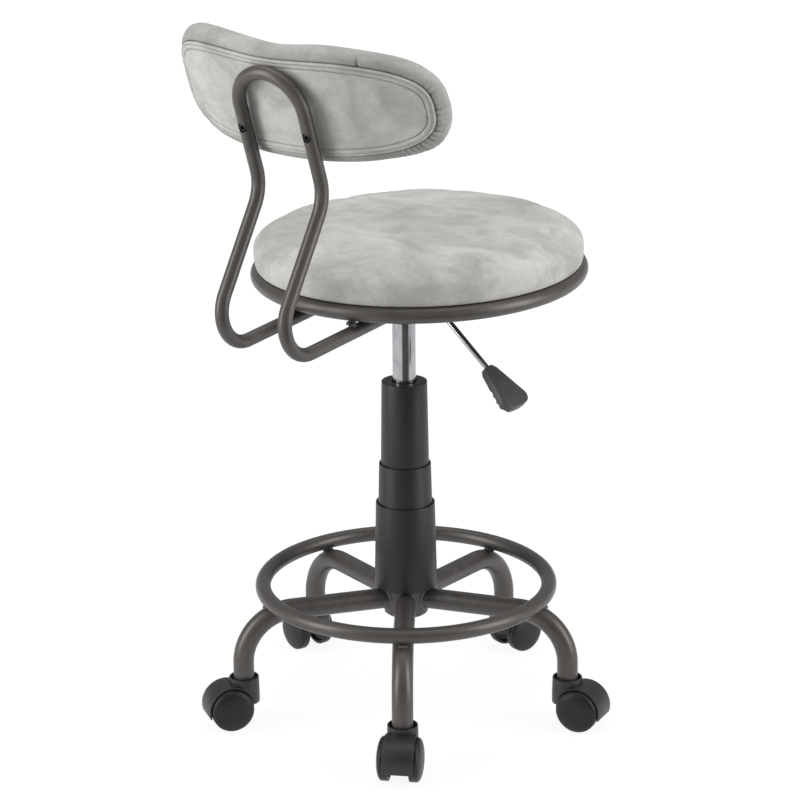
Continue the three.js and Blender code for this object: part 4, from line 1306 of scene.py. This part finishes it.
def gathers(arc_place, depth, across, up):
    """Folds where the border's cloth is gathered into the seam: deepest low round the two ends."""
    end = ramped(across, 0.62, 0.28) * (1 - 0.7 * ramped(up, -0.1, 0.6))
    drift = 1.6 * noise.noise(Vector((arc_place / 0.02, 0.7, depth / 0.03)))
    strong = 0.5 + noise.noise(Vector((arc_place / 0.011, 5.1, 0)))
    fold = max(0, math.cos(2 * math.pi * arc_place / GATHER_PITCH + drift)) ** 4
    ripple = noise.noise(Vector((arc_place / 0.009, 9.7, depth / 0.05)))
    crease = -0.0046 * fold * max(0, strong) + 0.0016 * ripple
    return crease * seam_nearness(depth) * (0.06 + 0.94 * end * end * (3 - 2 * end))


def border_fold(point, arc_place):
    """The gathers, and the one pleat sewn into the top edge."""
    up = point.y / PAD_HALF_HEIGHT
    fold = gathers(arc_place, point.z, abs(point.x) / PAD_HALF_WIDTH, up)
    wide = (point.x - PLEAT_U) / PLEAT_WIDTH
    deep = max(0, point.z - SEAM_DEPTH) / PLEAT_LENGTH
    if up > 0:
        fold -= PLEAT_SINK * math.exp(-(math.hypot(wide, deep) ** 2))
    return fold


def seam_fold_shade_share(point, fold):
    """How much painted shade darkens the cloth: a little along the seam, and most down in the folds."""
    along_seam = 0.6 + 0.4 * min(1, abs(point.x) / PAD_HALF_WIDTH / 0.8)
    return min(1, 0.42 * seam_nearness(point.z) * along_seam - 120 * fold)


def border_swell(point):
    """Lumps of stuffing, the fuller ends and the thinner middle of the top edge."""
    across = abs(point.x) / PAD_HALF_WIDTH
    up = point.y / PAD_HALF_HEIGHT
    free = ramped(point.z, 0.006, 0.01)
    slack = 1 - END_DROOP * up if point.x < 0 else 1
    full = END_FULLNESS * ramped(across, 0.66, 0.3) * slack * free
    thin = TOP_THINNING * math.exp(-((across / 0.3) ** 2)) * free if up > 0.6 else 0
    return bumps(point, 0.06, 0.0014) * free + full - thin


def seam_finder(outline):
    """A search tree for the seam point that is nearest to a place."""
    finder = kdtree.KDTree(len(outline))
    for k, (point, _) in enumerate(outline):
        finder.insert((point.x, point.y, 0), k)
    finder.balance()
    return finder


def add_pad_body():
    body = loose("pad", stretched(spun(pad_profile(), PAD_STEPS), PAD_STEPS))
    held = held_points(body, PAD_HELD)
    inflated(body, PAD_SLACK + 0.0006, held)
    bm = softened(taken(body))
    outline, length = pad_outline(PAD_STEPS)
    finder = seam_finder(outline)
    seam_fold_shade = bm.verts.layers.float.new("seam_fold_shade")
    for v in bm.verts:
        k = finder.find((v.co.x, v.co.y, 0))[1]
        point, normal = outline[k]
        along = Vector((-normal.y, normal.x)).dot(v.co.xy - point)
        fold = border_fold(v.co, k / PAD_STEPS * length + along)
        # painted shade along the seam and in the folds, kept for the cloth's colour
        v[seam_fold_shade] = seam_fold_shade_share(v.co, fold)
        v.co += v.normal * (fold + border_swell(v.co))
    # the pad's skin wears the darker copy of the suede: painted shade
    made = piece("pad_upholstery", curved(bm), PAD, border_suede_painted_shade, "seat", "backrest_cushion", sharp=180)


PANEL_STEPS = 480
STITCH_ROWS = (0.0030, 0.0086)  # from the seam in to each row of top stitching
STITCH_PITCH = 0.0042
GROOVE = ((0.0020, 0), (0.0012, 0.18), (0.0006, 0.62), (0, 1), (-0.0006, 0.62), (-0.0012, 0.18))


def panel_profile():
    """The rear panel's section: a rolled rim, a band between two stitched grooves, a flat middle."""
    seam = PAD_HALF_HEIGHT
    front = 0.0052
    profile = [(0, 0.0), (0.016, 0.0), (0.030, 0.0), (0.0405, 0.0), (0.0445, 0.0001)]
    for row, deep in ((STITCH_ROWS[1], 0.0013), (STITCH_ROWS[0], 0.0008)):
        profile += [(seam - row - away, deep * share) for away, share in GROOVE]
        profile.append((seam - row + 0.0018, 0.0))
    profile += [(seam - 0.0006, 0.0003), (seam, 0.0011), (seam + 0.0002, 0.0021)]
    return [*profile, (seam - 0.0004, front), (0, front)]


def add_rear_panel():
    bm = stretched(spun(panel_profile(), PANEL_STEPS), PANEL_STEPS)
    for v in bm.verts:
        if v.co.z < 0.0025:
            pucker = 0.0004 + 0.0009 * ramped(abs(v.co.x) / PAD_HALF_WIDTH, 0.6, 0.3)
            v.co.z += pucker * abs(noise.noise(v.co / 0.009)) + 0.0005 * abs(noise.noise(v.co / 0.05))
    made = piece("pad_rear_cover", curved(bm), PAD, pad_suede, "seat", "backrest_rear_panel", sharp=60)


def add_stitches():
    """Two rows of short stitches sunk in the rear panel's grooves."""
    steps = 2400
    outline, length = pad_outline(steps)
    count = round(length / STITCH_PITCH)
    size = sized(0.0014, 0.00038, 0.00036)
    rows = bmesh.new()
    for row, depth in zip(STITCH_ROWS, (0.0003, 0.0008)):
        for i in range(count):
            point, normal = outline[round(i / count * steps) % steps]
            at = point - normal * row
            heading = math.atan2(normal.x, -normal.y) + 0.12
            stitch = bmesh.new()
            bmesh.ops.create_uvsphere(stitch, u_segments=6, v_segments=4, radius=1)
            place = shift(at.x, at.y, depth) @ Matrix.Rotation(heading, 4, "Z")
            rows = joined(rows, moved(stitch, place @ size))
    piece("pad_stitches", curved(rows), PAD, thread, "seat")


def add_back_pad():
    add_pad_body()
    add_rear_panel()
    add_stitches()
    dress("backrest_board", plywood)


# ------------------------------------------------------------------ stage
CAMERA_DISTANCE = 3.3
CAMERA_HEIGHT = 1.44025
CAMERA_PITCH = 17.653
CAMERA_YAW = 0.092
CAMERA_ROLL = -0.527
CHAIR_HEADING = 217.5
LENS = 130.74


def facing(x, y, z):
    """A point given across, into and up the camera's view, in the chair's frame."""
    return COLUMN @ turn(CHAIR_HEADING, "Z") @ Vector((x, y, z))


def add_camera():
    data = bpy.data.cameras.new("camera")
    data.lens = LENS
    data.sensor_width = 36
    data.clip_end = 60
    camera = bpy.data.objects.new("camera", data)
    scene.collection.objects.link(camera)
    level = turn(90, "X")
    aim = turn(CAMERA_YAW, "Z") @ turn(-CAMERA_PITCH, "X") @ level @ turn(CAMERA_ROLL, "Z")
    camera.matrix_world = COLUMN @ turn(CHAIR_HEADING, "Z") @ shift(0, -CAMERA_DISTANCE, CAMERA_HEIGHT) @ aim
    scene.camera = camera


def aimed(thing, place, target, front):
    """Stands a thing at a place, with its front axis towards the target."""
    thing.location = facing(*place)
    thing.rotation_euler = (facing(*target) - thing.location).to_track_quat(front, "Y").to_euler()


def add_lamp(name, place, target, size, power):
    data = bpy.data.lights.new(name, "AREA")
    data.shape = "RECTANGLE"
    data.size, data.size_y = size
    data.energy = power
    lamp = bpy.data.objects.new(name, data)
    scene.collection.objects.link(lamp)
    aimed(lamp, place, target, "-Z")


def surfaced(tree, output, share, first, second):
    """Gives an output the first shader where share is 0, and the second where it is 1."""
    mix = node(tree, "MixShader", [(share, "Fac")])
    tree.links.new(first.outputs[0], mix.inputs[1])
    tree.links.new(second.outputs[0], mix.inputs[2])
    tree.links.new(mix.outputs[0], tree.nodes[output].inputs["Surface"])


def add_floor():
    """A pale floor that the camera and mirrors see as white, but for the chair's soft shadow."""
    bm = bmesh.new()
    bmesh.ops.create_circle(bm, segments=96, radius=20, cap_ends=True)
    floor = loose("floor", bm)
    made, tree = material("white_floor", Roughness=0.9, Specular_IOR_Level=0.1, Base_Color=(0.8, 0.8, 0.8))
    floor.data.materials.append(made)
    glow = node(tree, "Emission", Strength=1.06)
    seen = node(tree, "LightPath").outputs
    rays = [(seen["Is Camera Ray"], 0), (seen["Is Glossy Ray"], 1)]
    either = node(tree, "Math", rays, operation="MAXIMUM").outputs[0]
    away = node(tree, "VectorMath", [(object_point(tree), 0)], operation="LENGTH").outputs["Value"]
    whiter = node(tree, "MapRange", [(away, "Value")], From_Min=0.5, From_Max=1.6, To_Min=0.86, To_Max=1.0)
    share = product(tree, either, whiter.outputs[0]).outputs[0]
    surfaced(tree, "Material Output", share, tree.nodes["Principled BSDF"], glow)


def add_flag():
    """A grey card in front, out of the camera's sight, that puts a dark band in bright metal."""
    bm = bmesh.new()
    bmesh.ops.create_grid(bm, x_segments=1, y_segments=1, size=0.5)
    flag = loose("flag", moved(bm, sized(1.05, 0.5, 1)))
    aimed(flag, (0.2, -0.8, 0.26), (0, 0, 0.26), "Z")
    made, _ = material("grey_card", Roughness=1.0, Base_Color=(0.16, 0.16, 0.16))
    flag.data.materials.append(made)
    flag.visible_camera = False


def add_world():
    world = bpy.data.worlds.new("studio")
    scene.world = world
    world.use_nodes = True
    tree = world.node_tree
    fill = tree.nodes["Background"]
    fill.inputs["Color"].default_value = (1, 1, 1, 1)
    fill.inputs["Strength"].default_value = 0.4
    white = node(tree, "Background", Strength=1.0)
    white.inputs["Color"].default_value = (1, 1, 1, 1)
    seen = node(tree, "LightPath").outputs["Is Camera Ray"]
    surfaced(tree, "World Output", seen, fill, white)


def add_stage():
    scene.view_settings.view_transform = "Standard"
    add_camera()
    add_world()
    add_floor()
    add_flag()
    add_lamp("overhead", (0, 0.3, 3.2), (0, 0, 0.5), (3, 3), 44)
    add_lamp("left_box", (-2.5, -1.0, 1.3), (0, 0, 0.5), (1.1, 2.4), 56)
    add_lamp("right_box", (2.5, -1.0, 1.3), (0, 0, 0.5), (1.1, 2.4), 54)


# ------------------------------------------------------------------ the whole chair
add_stage()
add_casters()
add_base()
add_cover()
add_lift()
add_seat_frame()
add_back_frame()
add_seat_cushion()
add_back_pad()
